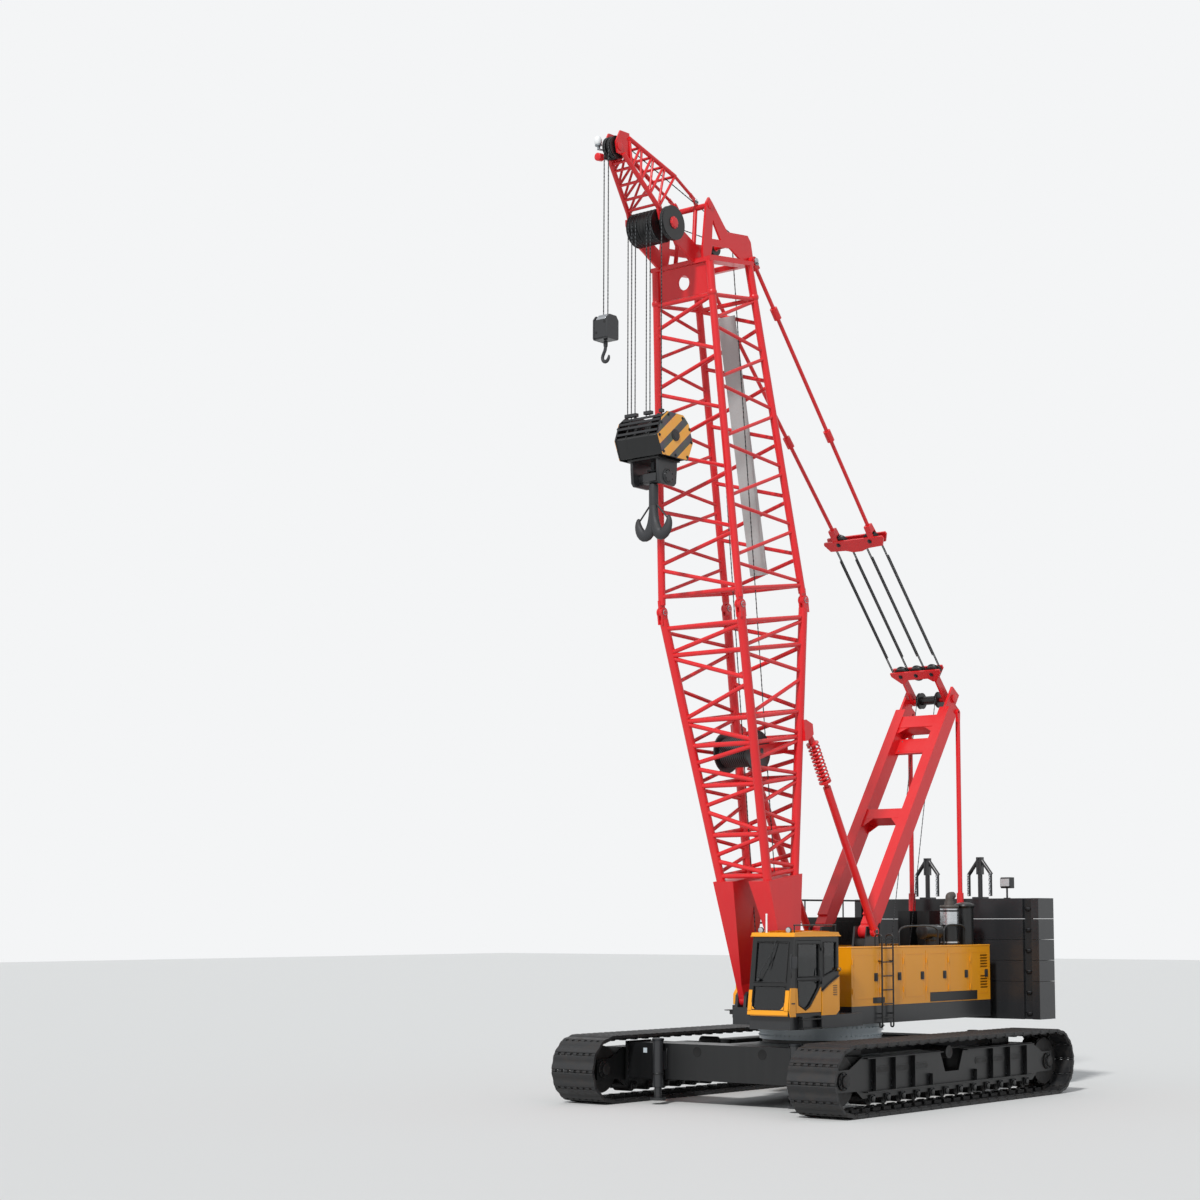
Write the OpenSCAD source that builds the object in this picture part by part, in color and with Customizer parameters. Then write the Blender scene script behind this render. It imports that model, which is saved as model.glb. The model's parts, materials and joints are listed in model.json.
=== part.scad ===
// Crawler crane with a short lattice boom, a fixed tip jib and a gantry mast.
// Millimetres. +X is the way the boom points, +Y the cab's side, +Z up.
// The origin is on the ground, on the slewing axis.

/* [Tracks] */
// Length over both track ends
track_len = 9200; // [8400:100:10000]
// Height of the track loop
track_h = 1390; // [1300:10:1500]
// Distance between the track centre lines
track_gauge = 6000; // [5600:50:6400]
// Width of a track shoe
shoe_w = 1120; // [900:20:1200]
// Thickness of a shoe plate
shoe_t = 60; // [40:5:80]
// Number of shoes in each loop
shoe_count = 54; // [48:2:60]
// Depth of the link belt under the shoes
link_h = 130; // [100:5:150]
// Number of ground rollers in each side frame
roller_count = 12; // [8:1:13]

/* [Slewing deck] */
// Outside radius of the slewing ring
ring_r = 1300; // [1200:20:1400]
// Height of the deck's underside above the ground
deck_z = 1600; // [1580:10:1640]
// Thickness of the deck
deck_t = 350; // [300:10:400]
// Half of the width over both housings
body_half_w = 1500; // [1450:10:1600]
// Height of the housings' roofs above the ground
house_top_z = 3190; // [3000:10:3400]
// Sheet thickness of the housings
house_wall = 40; // [25:5:60]

/* [Cab] */
// Width of the cab
cab_w = 1000; // [900:10:1050]
// Length of the cab at its floor
cab_len = 1740; // [1600:10:1800]
// Height of the cab without its roof
cab_h = 1560; // [1450:10:1650]
// Thickness of the cab's walls
cab_wall = 60; // [40:5:80]

/* [Counterweight] */
// Half of the width of the counterweight
weight_half_w = 2500; // [2200:50:2700]
// Thickness of the counterweight at its outer ends
weight_end_t = 690; // [600:10:800]
// How much the counterweight's middle bulges to the rear
weight_bulge = 610; // [400:10:700]
// Number of slabs on the base slab
slab_count = 5; // [3:1:6]
// Height of one slab
slab_h = 468; // [420:2:500]

/* [Boom] */
// Distance of the boom's foot pin from the slewing axis
boom_foot_x = 1850; // [1700:10:2000]
// Height of the boom's foot pin
boom_foot_z = 2100; // [2080:10:2200]
// Lean of the boom from the vertical
boom_lean = 8.3; // [6:0.1:12]
// Distance from the foot pin to the joint of the two sections
boom_joint_s = 8190; // [7800:10:8600]
// Outside diameter of the base section's main tubes
base_chord_d = 190; // [150:5:210]
// Outside diameter of the top section's main tubes
top_chord_d = 156; // [130:2:180]
// Outside diameter of the lattice diagonals
brace_d = 84; // [70:2:95]
// Number of lattice bays in the top section
top_bays = 10; // [6:2:14]
// Diameter of the boom foot pins
foot_pin_d = 140; // [100:5:160]

/* [Sheaves and ropes] */
// Diameter of the main hoist sheaves
head_sheave_d = 700; // [600:10:760]
// Number of main hoist sheaves on the boom head
head_sheave_count = 7; // [5:1:8]
// Diameter of the hoist ropes
rope_d = 26; // [22:2:32]
// Diameter of the gantry sheaves
mast_sheave_d = 380; // [340:10:420]

/* [Gantry mast] */
// Distance of the mast's foot behind the slewing axis
mast_foot_back = 900; // [800:10:1000]
// Height of the mast's foot pin
mast_foot_z = 3500; // [3400:10:3600]
// Length of the mast legs from the foot pin to the head axle
mast_len = 6450; // [6200:10:6600]
// Lean of the mast to the rear
mast_lean = 34.3; // [32:0.1:36]
// Half of the distance between the mast legs' middles
mast_half_w = 600; // [560:10:640]

/* [Hooks] */
// Drop from the head sheaves' axle to the main hook block's top
main_drop = 3900; // [3000:50:5000]
// Drop from the tip sheave's axle to the small hook block's top
aux_drop = 3450; // [3000:50:4000]

/* [Hidden] */
$fn = 48;

eps = 0.3;             // gap of pieces that rest on each other
run_gap = 5;           // gap of pieces that move past each other
pin_play = 0.05;       // play of a pin in its bore, on the radius
red = "#d42a2a";
yellow = "#eba01f";
dark = "#2f3032";
steel = "#8f969c";

// Track loop
end_r = track_h / 2;
track_straight = track_len - track_h;
arc_len = PI * end_r;
shoe_pitch = 2 * (track_straight + arc_len) / shoe_count;
belt_in = shoe_t + link_h;
belt_w = 300;
shoe_groove = 40;
shoe_lap = 10;
frame_plate = 60;
frame_in_w = 420;                 // clear width between a side frame's plates
frame_w = frame_in_w + 2 * frame_plate;
frame_low_z = 330;
frame_box_z = 480;
frame_top_z = 1120;
frame_box_len = 6500;
// The wheels run inside the flats of the belt's links
belt_r = end_r - belt_in;
wheel_r = min([for (i = [0 : shoe_count - 1])
    let (p = on_loop(i * shoe_pitch, belt_r), q = on_loop((i + 1) * shoe_pitch, belt_r),
        x = (p[0] + q[0] > 0 ? 1 : -1) * track_straight / 2)
    abs(cross(q - p, [x, end_r] - p)) / norm(q - p)]) - eps;
wheel_w = 380;
roller_r = 120;
roller_w = frame_in_w - 2 * run_gap;
roller_span = 5900;
notch_top = 900;
notch_low = 520;
notch_h = 430;
frame_inner_y = track_gauge / 2 - frame_w / 2;

// Carbody
beam_x = 2850;
beam_t = 700;
beam_low_z = 500;
beam_top_z = 1230;
spine_half_w = 950;
turret_r = ring_r - 60;
ring_low_z = 1260;
ring_h = (deck_z - ring_low_z) / 2;
ring_gap = 1;
ring_in_r = ring_r - 190;
jack_y = 1750;
jack_r = 110;
jack_pad = 330;

// Slewing deck and housings
deck_top = deck_z + deck_t;
deck_half_w = 780;
deck_front_x = boom_foot_x + 210;
deck_rear_x = -mast_foot_back - mast_len * sin(mast_lean) - 465;   // behind the mast's links
house_front_x = 1010;
house_rear_x = -4520;
house_in_y = 800;
house_round = 90;
cab_out_y = 1820;
cab_front_x = 3670;
cab_floor_z = 1860;
cab_rear_x = cab_front_x - cab_len;
cab_in_y = cab_out_y - cab_w;
cab_lean = 200;               // how far the windscreen leans back
roof_t = 110;
roof_over = 30;

// Boom frame of reference: x to its front, y across, z along it from the foot pin.
// Stations: distance from the foot pin, depth, width, all to the tubes' middles.
S_POS = 0; S_DEPTH = 1; S_WIDTH = 2;
stations = [
    [2550, 940, 1200],
    [boom_joint_s, 2200, 2020],
    [boom_joint_s + 6360, 1430, 1450],
    [boom_joint_s + 7010, 1340, 1400],
];
leg_top_s = stations[0][S_POS];
head_s = stations[3][S_POS];
foot_y = 600;
foot_boss_w = 140;
foot_boss_r = 140;
lug_t = 70;
sheave_f = 1495;              // boom head sheave axle: forward of the boom's axis
sheave_s = head_s + 730;      // and its distance along the boom
peak_s = head_s + 1450;
tip_f = 2560;
tip_s = head_s + 2200;
tip_sheave_r = 230;
base_drum_s = 5180;
base_drum_f = 150;
base_drum_r = 425;
backstop_s = 5500;
arm_f = -950;                 // rear arm of the boom head
arm_s = head_s + 640;
pendant_f = -900;
pendant_s = head_s + 130;
pendant_y = 650;

function deg_to_world(f, s) = [
    boom_foot_x + f * cos(boom_lean) + s * sin(boom_lean),
    boom_foot_z - f * sin(boom_lean) + s * cos(boom_lean)];
function station_at(s, i = 0) =
    (i >= len(stations) - 2 || s <= stations[i + 1][S_POS])
        ? let (a = stations[i], b = stations[i + 1],
               t = (s - a[S_POS]) / (b[S_POS] - a[S_POS])) a + (b - a) * t
        : station_at(s, i + 1);
// A point on a main tube. side: -1 right, 1 left. face: -1 rear, 1 front.
function chord_point(s, side, face) =
    let (st = station_at(s)) [face * st[S_DEPTH] / 2, side * st[S_WIDTH] / 2, s];

// Gantry mast
mast_foot = [-mast_foot_back, mast_foot_z];
function on_mast(along, across = 0) = [
    mast_foot[0] - along * sin(mast_lean) + across * cos(mast_lean),
    mast_foot[1] + along * cos(mast_lean) + across * sin(mast_lean)];
mast_leg_w = 260;
mast_leg_d = 360;
mast_axle = on_mast(mast_len);
harp_plate_t = 40;
harp_gap = 130;               // clear width between a harp's plates
harp_pitch = 420;             // distance between a harp's sheaves
harp_reach = 800;             // from the mast head axle to the mast harp's sheaves
harp_sheave_r = 180;
fork_x = harp_gap / 2 + 1;      // half of the fork's slot round a sheave
link_x = mast_axle[0] - 130;
link_y = 560;
link_r = 55;
link_knee_z = 4350;
link_foot_z = 3350;
link_pin_z = mast_axle[1] - 300;

// Stay from the boom head to the mast head
pendant_top = deg_to_world(pendant_f, pendant_s);
stay_vec = mast_axle - pendant_top;
stay_len = norm(stay_vec);
stay_ang = atan2(-stay_vec[0], -stay_vec[1]);           // lean of the stay from the vertical
pendant_len = 7000;                                     // boom head pin to the hanging harp
rope_len = stay_len - pendant_len - harp_reach;
harp_p = pendant_top + stay_vec * (pendant_len / stay_len);
harp_m = mast_axle - stay_vec * (harp_reach / stay_len);
harp_y = 480;
pendant_r = 42;
stay_rope_r = 11;
bundle_len = rope_len - 480;     // a bundle of falls stops short of the other harp

// Backstops
stop_foot = [-800, 3500];
stop_top = deg_to_world(-station_at(backstop_s)[S_DEPTH] / 2 - 240, backstop_s);
stop_vec = stop_top - stop_foot;
stop_len = norm(stop_vec);
stop_lean = atan2(stop_vec[0], stop_vec[1]);
stop_y = 870;
stop_tube_r = 85;
stop_rod_r = 50;
stop_tube_len = 3500;

// Hook blocks
head_axle = deg_to_world(sheave_f, sheave_s);
tip_axle = deg_to_world(tip_f, tip_s);
head_sheave_r = head_sheave_d / 2;
falls_x = head_axle[0] + head_sheave_r - rope_d / 2;
block_top_z = head_axle[1] - main_drop;
block_x = falls_x - head_sheave_r + rope_d / 2;
aux_x = tip_axle[0] + tip_sheave_r - rope_d / 2;
aux_top_z = tip_axle[1] - aux_drop;

// Shapes that several pieces share

module tube(p, q, r) {
    v = q - p;
    translate(p)
        rotate([0, acos(v[2] / norm(v)), atan2(v[1], v[0])]) rotate([0, 0, 90])
            cylinder(h = norm(v), r = r);
}

// A plate in the XZ plane, its middle at y
module side_plate(points, t, y) {
    translate([0, y + t / 2, 0])
        rotate([90, 0, 0])
            linear_extrude(t) polygon(points);
}

// A round bar or bore across, its middle at y
module cross_bar(x, z, r, w, y = 0) {
    translate([x, y + w / 2, z])
        rotate([90, 0, 0]) cylinder(h = w, r = r);
}

module block(low, high) {
    translate(low) cube(high - low);
}

module both_sides() {
    children();
    mirror([0, 1, 0]) children();
}

module on_boom() {
    translate([boom_foot_x, 0, boom_foot_z]) rotate([0, boom_lean, 0]) children();
}

// Along a bar that leans from the vertical by the angle, from the point
module along(p, ang) {
    translate([p[0], 0, p[1]]) rotate([0, ang, 0]) children();
}

// A sheave with a rope groove, its axis along Z
module sheave(r, w, groove, bore) {
    rotate_extrude()
        polygon([
            [bore, -w / 2], [r, -w / 2], [r - groove, -w / 6],
            [r - groove, w / 6], [r, w / 2], [bore, w / 2]
        ]);
}

// Tracks

// A point of the track loop at the distance s along it, at the radius r from its middle line
function on_loop(s, r) =
    let (a = track_straight, b = arc_len)
    s < a ? [s - a / 2, end_r - r]
    : s < a + b ? let (t = 180 * (s - a) / b) [a / 2 + r * sin(t), end_r - r * cos(t)]
    : s < 2 * a + b ? [a / 2 - (s - a - b), end_r + r]
    : let (t = 180 * (s - 2 * a - b) / b) [-a / 2 - r * sin(t), end_r + r * cos(t)];

shoe_edges = [[0, -shoe_groove], [0.07, 0], [0.93, 0]];    // place in the pitch, height
function shoe_outline() = [
    for (i = [0 : shoe_count - 1]) for (e = shoe_edges)
        on_loop((i + e[0]) * shoe_pitch, end_r + e[1])];
function loop_outline(r) = [for (i = [0 : shoe_count - 1]) on_loop(i * shoe_pitch, r)];

module loop_band(outer, inner, w) {
    rotate([90, 0, 0])
        linear_extrude(w, center = true)
            polygon(concat(outer, inner), [
                [for (i = [0 : len(outer) - 1]) i],
                [for (i = [0 : len(inner) - 1]) len(outer) + i]]);
}

module track(side) {
    color(dark) translate([0, side * track_gauge / 2, 0]) {
        loop_band(shoe_outline(), loop_outline(end_r - shoe_t), shoe_w);
        loop_band(loop_outline(end_r - shoe_t + shoe_lap), loop_outline(end_r - belt_in), belt_w);
    }
}

module track_frame(side) {
    half = frame_box_len / 2;
    end_x = track_straight / 2;
    boss = 210;
    color(dark) translate([0, side * track_gauge / 2, 0]) {
        block([-half, -frame_w / 2, frame_box_z], [half, frame_w / 2, frame_top_z - notch_h]);
        for (x = [-half, notch_top / 2])
            block([x, -frame_w / 2, frame_box_z], [x + half - notch_top / 2, frame_w / 2, frame_top_z]);
        for (s = [-1, 1]) difference() {
            side_plate([
                [-half, frame_low_z], [half, frame_low_z], [half + boss, frame_box_z],
                [end_x + boss, end_r - boss], [end_x + boss, end_r + boss],
                [end_x - boss, end_r + boss], [half, frame_top_z], [notch_top / 2, frame_top_z],
                [notch_low / 2, frame_top_z - notch_h], [-notch_low / 2, frame_top_z - notch_h],
                [-notch_top / 2, frame_top_z], [-half, frame_top_z], [-end_x + boss, end_r + boss],
                [-end_x - boss, end_r + boss], [-end_x - boss, end_r - boss],
                [-half - boss, frame_box_z]
            ], frame_plate, s * (frame_w - frame_plate) / 2);
            for (x = [-end_x, end_x])
                cross_bar(x, end_r, 90, frame_w + 2, 0);
        }
    }
}

// Sprocket behind, idler in front, ground rollers and a top roller, on the frame's plates
module track_wheels(side) {
    roller_z = belt_in + eps + roller_r;
    color(dark) translate([0, side * track_gauge / 2, 0]) {
        for (x = [-track_straight / 2, track_straight / 2]) {
            cross_bar(x, end_r, wheel_r, wheel_w);
            cross_bar(x, end_r, 90 - eps, frame_w);
        }
        for (i = [0 : roller_count - 1])
            cross_bar(-roller_span / 2 + i * roller_span / (roller_count - 1), roller_z,
                roller_r, frame_in_w - 2 * eps);
        cross_bar(0, track_h - belt_in - eps - 130, 130, frame_in_w - 2 * eps);
    }
}

// Carbody

module carbody() {
    color(dark) {
        for (s = [-1, 1])
            block([s * beam_x - beam_t / 2, -frame_inner_y + eps, beam_low_z],
                [s * beam_x + beam_t / 2, frame_inner_y - eps, beam_top_z]);
        block([-beam_x, -spine_half_w, beam_low_z + 60], [beam_x, spine_half_w, beam_top_z - 40]);
        translate([0, 0, beam_low_z + 60])
            cylinder(h = ring_low_z - eps - beam_low_z - 60, r = turret_r);
    }
}

module carbody_jacks() {
    x = beam_x + beam_t / 2 + jack_r + 20;
    color(dark) for (sx = [-1, 1]) for (sy = [-1, 1]) translate([sx * x, sy * jack_y, 0]) {
        translate([0, 0, 350]) cylinder(h = beam_top_z + 60 - 350, r = jack_r);
        translate([0, 0, 120]) cylinder(h = 240, r = jack_r * 0.7);
        translate([0, 0, 80]) cylinder(h = 50, r = jack_pad / 2);
        translate([sx > 0 ? -20 - jack_r + eps : 0, -90, 700])
            cube([jack_r + 20 - eps, 180, 380]);
    }
}

module ring_lower() {
    color(steel) translate([0, 0, ring_low_z]) difference() {
        cylinder(h = ring_h - ring_gap / 2, r = ring_r);
        translate([0, 0, -1]) cylinder(h = ring_h + 2, r = ring_in_r);
    }
}

module ring_upper() {
    color(steel) translate([0, 0, ring_low_z + ring_h + ring_gap / 2]) difference() {
        cylinder(h = ring_h - ring_gap / 2 - eps, r = ring_r + 40);
        translate([0, 0, -1]) cylinder(h = ring_h + 2, r = ring_in_r);
    }
}

// Slewing deck

foot_lug_gap = foot_boss_w / 2 + run_gap;
mast_lug_gap = mast_leg_w / 2 + run_gap;

module slewing_deck() {
    skirt_h = 370;
    color(dark) {
        difference() {
            union() {
                block([deck_rear_x + eps, -deck_half_w, deck_z], [deck_front_x, deck_half_w, deck_top]);
                for (s = [-1, 1])
                    block([house_rear_x, min(s * deck_half_w, s * body_half_w), deck_z],
                        [house_front_x, max(s * deck_half_w, s * body_half_w), deck_z + skirt_h]);
                block([house_front_x - 1, deck_half_w - 1, deck_z],
                    [cab_front_x - 120, cab_out_y - 40, cab_floor_z - eps]);
            }
        }
        both_sides() {
            // lugs of the boom foot and their pins
            for (s = [-1, 1])
                side_plate([
                    [boom_foot_x - 190, deck_top - 20], [boom_foot_x + 190, deck_top - 20],
                    [boom_foot_x + 160, boom_foot_z + 90], [boom_foot_x + 90, boom_foot_z + 170],
                    [boom_foot_x - 90, boom_foot_z + 170], [boom_foot_x - 160, boom_foot_z + 90]
                ], lug_t, foot_y + s * (foot_lug_gap + lug_t / 2));
            cross_bar(boom_foot_x, boom_foot_z, foot_pin_d / 2, 2 * (foot_lug_gap + lug_t) + 40, foot_y);
            // posts under the mast feet and the backstops
            side_plate([
                [mast_foot[0] - 420, deck_top - 20], [mast_foot[0] + 520, deck_top - 20],
                [mast_foot[0] + 230, mast_foot_z + 110], [mast_foot[0] - 170, mast_foot_z + 110]
            ], 50, mast_half_w - mast_lug_gap - 25);
            side_plate([
                [mast_foot[0] - 420, deck_top - 20], [mast_foot[0] + 520, deck_top - 20],
                [mast_foot[0] + 230, mast_foot_z + 110], [mast_foot[0] - 170, mast_foot_z + 110]
            ], 30, mast_half_w + mast_lug_gap + 15);
            cross_bar(mast_foot[0], mast_foot_z, 60, 2 * mast_lug_gap + 10, mast_half_w);
            // pins of the backstops' feet
            cross_bar(stop_foot[0], stop_foot[1], 40, 200, mast_half_w + mast_lug_gap + 110);
            // bearings of the winch drums
            for (row = drum_rows) difference() {
                side_plate([
                    [row[0] - 260, deck_top - 20], [row[0] + 260, deck_top - 20],
                    [row[0] + 110, row[1] + 110], [row[0] - 110, row[1] + 110]
                ], 50, 430);
                cross_bar(row[0], row[1], 60, 200, 430);
            }
            // posts of the mast links
            side_plate([
                [link_x - 260, deck_top - 20], [link_x + 260, deck_top - 20],
                [link_x + 90, link_foot_z + 70], [link_x - 90, link_foot_z + 70]
            ], 60, link_y);
            cross_bar(link_x, link_foot_z, 35, 190, link_y + 50);
        }
    }
}

module house_body(front, side) {
    low = deck_z + 370;
    y = [for (v = [house_in_y, body_half_w]) side * v];
    difference() {
        translate([0, min(y), 0])
            mirror([0, 0, 0])
                block([house_rear_x, 0, low + eps], [front, body_half_w - house_in_y, house_top_z]);
        block([house_rear_x + house_wall, min(y) + house_wall, low - 1],
            [front - house_wall, max(y) - house_wall, house_top_z - house_wall]);
    }
}

// Side by which a housing's doors, vents and trim are cut: depth of a seam
seam = 12;
seam_w = 14;
door_pitch = 900;
door_count = 5;

module engine_house() {
    low = deck_z + 370;
    color(yellow) difference() {
        house_body(house_front_x, 1);
        for (i = [1 : door_count])
            block([house_front_x - 150 - i * door_pitch, body_half_w - seam, low + 60],
                [house_front_x - 150 - i * door_pitch + seam_w, body_half_w + 1, house_top_z - 90]);
        // vents at the rear
        for (z = [low + 260, low + 720]) for (k = [0 : 4])
            block([house_rear_x + 120, body_half_w - 25, z + k * 62],
                [house_rear_x + 420, body_half_w + 1, z + k * 62 + 34]);
    }
}

module machinery_house() {
    low = deck_z + 370;
    color(yellow) {
        difference() {
            house_body(house_front_x - 130, -1);
            for (i = [1 : door_count])
                block([house_front_x - 150 - i * door_pitch, -body_half_w - 1, low + 60],
                    [house_front_x - 150 - i * door_pitch + seam_w, -body_half_w + seam, house_top_z - 90]);
        }
        block([house_front_x - 131, -body_half_w, low + eps],
            [house_front_x, -house_in_y, low + 420]);
    }
}

module engine_block() {
    color(dark) block([-3900, 870, deck_z + 370 + eps], [-2300, 1430, 2950]);
}

module counterweight_plan(grow = 0) {
    front = deck_rear_x;
    polygon([
        [front, -weight_half_w], [front, weight_half_w],
        [front - weight_end_t, weight_half_w], [front - weight_end_t - weight_bulge, 900],
        [front - weight_end_t - weight_bulge, -900], [front - weight_end_t, -weight_half_w]
    ]);
}

base_slab_z = 1520;
base_slab_h = 380;
slab_recess_y = weight_half_w - 300;

module slab_recess(z, h) {
    // pocket of the lifting lug in the front face
    both_sides()
        block([deck_rear_x - 90, slab_recess_y - 110, z - 1], [deck_rear_x + 1, slab_recess_y + 110, z + h + 1]);
}

module counterweight_base() {
    color(dark) translate([0, 0, base_slab_z]) difference() {
        linear_extrude(base_slab_h - eps) counterweight_plan();
        slab_recess(0, base_slab_h);
    }
}

module counterweight_slabs() {
    gap = 8;
    color(dark) for (i = [0 : slab_count - 1])
        translate([0, 0, base_slab_z + base_slab_h + i * slab_h]) difference() {
            union() {
                linear_extrude(slab_h - gap) counterweight_plan();
                if (i > 0) both_sides() translate([deck_rear_x - 350, 500, -gap - eps / 2])
                    cylinder(h = gap + eps, r = 60);
            }
            slab_recess(0, slab_h);
        }
}

weight_top = base_slab_z + base_slab_h + slab_count * slab_h - 8;

module weight_lifters() {
    y = 720;
    x = deck_rear_x - 450;
    color(dark) both_sides() translate([x, y, weight_top + eps]) {
        translate([-140, -140, 0]) cube([280, 280, 40]);
        cylinder(h = 900, r = 55);
        for (s = [-1, 1]) {
            side_plate([[-60, 560], [60, 560], [60, 960], [-60, 960]], 50, s * 45);
            tube([0, s * 40, 900], [0, s * 300, 560], 45);
            tube([0, s * 290, 600], [0, s * 290, 60], 28);
        }
    }
}

module roof_equipment() {
    // silencer, air cleaners, tank and the winch cover between the housings
    color(dark) {
        for (x = [-3500, -4150])
            translate([x, 1080, house_top_z + eps]) cylinder(h = 820, r = 200);
        translate([-2750, 1050, house_top_z + eps]) cylinder(h = 90, r = 110);
        translate([-3050, 1050, house_top_z + 300]) rotate([0, 90, 0]) cylinder(h = 620, r = 150);
        block([-2880, 960, house_top_z + eps], [-2700, 1140, house_top_z + 220]);
        for (s = [-1, 1])
            block([-4300, min(s * 100, s * 420), deck_top + eps],
                [-3700, max(s * 100, s * 420), 3950]);
        block([-3550, -1400, house_top_z + eps], [-1400, -900, house_top_z + 620]);
    }
}

// Cab

cab_top_z = cab_floor_z + cab_h;
function cab_side() = [
    [cab_rear_x, cab_floor_z], [cab_front_x - 60, cab_floor_z], [cab_front_x, cab_floor_z + 120],
    [cab_front_x - cab_lean, cab_top_z], [cab_rear_x, cab_top_z]];
door_rear_x = cab_rear_x + 620;
door_front_x = cab_front_x - 240;
door_low_z = cab_floor_z + 60;
door_high_z = cab_top_z - 70;
hinge_at = [door_rear_x - 6, cab_out_y + 16];
hinge_zs = [cab_floor_z + 620, cab_floor_z + 1280];

// Window outlines on the cab's side: points x, z
door_low_window = [
    [door_front_x - 110, cab_floor_z + 230], [door_front_x - 330, cab_floor_z + 130],
    [door_front_x - 480, cab_floor_z + 200], [door_rear_x + 70, cab_floor_z + 560],
    [door_rear_x + 70, cab_floor_z + 700], [door_front_x - 70, cab_floor_z + 700]];
door_high_window = [
    [door_front_x - 70, cab_floor_z + 770], [door_rear_x + 70, cab_floor_z + 770],
    [door_rear_x + 70, door_high_z - 70], [door_front_x - 90, door_high_z - 70]];
rear_side_window = [
    [cab_rear_x + 90, cab_floor_z + 900], [door_rear_x - 90, cab_floor_z + 770],
    [door_rear_x - 90, cab_top_z - 110], [cab_rear_x + 90, cab_top_z - 110]];
far_side_window = [
    [cab_rear_x + 120, cab_floor_z + 700], [cab_front_x - 330, cab_floor_z + 700],
    [cab_front_x - 330, cab_top_z - 130], [cab_rear_x + 120, cab_top_z - 130]];
screen_side = 110;             // frame beside the windscreen
screen_low_z = [cab_floor_z + 130, cab_floor_z + 600];
screen_high_z = [cab_floor_z + 670, cab_top_z - 90];

module cab_shell() {
    color(dark) difference() {
        side_plate(cab_side(), cab_w, cab_in_y + cab_w / 2);
        // the inside
        side_plate([
            [cab_rear_x + cab_wall, cab_floor_z + cab_wall],
            [cab_front_x - 60 - cab_wall, cab_floor_z + cab_wall],
            [cab_front_x - cab_wall, cab_floor_z + 120 + cab_wall],
            [cab_front_x - cab_lean - cab_wall, cab_top_z - cab_wall],
            [cab_rear_x + cab_wall, cab_top_z - cab_wall]
        ], cab_w - 2 * cab_wall, cab_in_y + cab_w / 2);
        // windscreen, rear window and roof window
        for (z = [screen_low_z, screen_high_z])
            block([cab_front_x - cab_lean - 150, cab_in_y + screen_side, z[0]],
                [cab_front_x + 50, cab_out_y - screen_side, z[1]]);
        block([cab_rear_x - 10, cab_in_y + 150, cab_floor_z + 800],
            [cab_rear_x + cab_wall + 10, cab_out_y - 150, cab_top_z - 130]);
        side_plate(far_side_window, cab_wall + 20, cab_in_y + cab_wall / 2);
        side_plate(rear_side_window, cab_wall + 20, cab_out_y - cab_wall / 2);
        // doorway
        block([door_rear_x, cab_out_y - cab_wall - 10, door_low_z],
            [door_front_x, cab_out_y + 10, door_high_z]);
    }
    // fixed halves of the door's hinges, with their pins
    color(dark) for (z = hinge_zs) {
        block([hinge_at[0] - 40, cab_out_y - 5, z], [hinge_at[0], cab_out_y + 20, z + 60]);
        translate([hinge_at[0], hinge_at[1], z]) cylinder(h = 60, r = 14);
        translate([hinge_at[0], hinge_at[1], z]) cylinder(h = 130, r = 7);
    }
}

module cab_roof() {
    z = cab_top_z + eps;
    color(yellow) side_plate([
        [cab_rear_x - roof_over, z], [cab_front_x - cab_lean + roof_over, z],
        [cab_front_x - cab_lean + 10, z + roof_t * 0.75], [cab_rear_x + 900, z + roof_t],
        [cab_rear_x + 40, z + roof_t * 0.8]
    ], cab_w + 2 * roof_over, cab_in_y + cab_w / 2);
}

trim_t = 18;
module cab_trim() {
    // yellow sheets on the side behind the door and round the lower windscreen
    color(yellow) {
        side_plate([
            [cab_rear_x, cab_floor_z + 90], [cab_rear_x + 120, cab_floor_z],
            [door_rear_x - 8, cab_floor_z], [door_rear_x - 8, cab_floor_z + 470],
            [cab_rear_x, cab_floor_z + 760]
        ], trim_t, cab_out_y + trim_t / 2 + eps);
        side_plate([
            [door_front_x + 10, cab_floor_z], [cab_front_x - 60, cab_floor_z],
            [cab_front_x - 4, cab_floor_z + 120], [cab_front_x - 60, cab_floor_z + 560],
            [door_front_x + 10, cab_floor_z + 560]
        ], trim_t, cab_out_y + trim_t / 2 + eps);
    }
}

// A pane that sits in a window outline of a side wall
module side_pane(points, y) {
    low = [for (k = [0, 1]) min([for (p = points) p[k]])];
    high = [for (k = [0, 1]) max([for (p = points) p[k]])];
    function inset(p, k) = p[k] + 0.4 - 0.8 * (p[k] - low[k]) / (high[k] - low[k]);
    side_plate([for (p = points) [inset(p, 0), inset(p, 1)]], 12, y);
}

module cab_glass() {
    lean = atan2(cab_lean, cab_h - 120);
    function screen_x(z) = cab_front_x - 22 - (z - cab_floor_z - 120) * tan(lean);
    color("#22262a") {
        for (z = [screen_low_z, screen_high_z])
            side_plate([
                [screen_x(z[0]), z[0] + eps], [screen_x(z[0]) - 12, z[0] + eps],
                [screen_x(z[1]) - 12, z[1] - eps], [screen_x(z[1]), z[1] - eps]
            ], cab_w - 2 * screen_side - 2 * eps, cab_in_y + cab_w / 2);
        block([cab_rear_x + 20, cab_in_y + 150 + eps, cab_floor_z + 800 + eps],
            [cab_rear_x + 32, cab_out_y - 150 - eps, cab_top_z - 130 - eps]);
        side_pane(far_side_window, cab_in_y + 26);
        side_pane(rear_side_window, cab_out_y - 26);
    }
}

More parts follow.
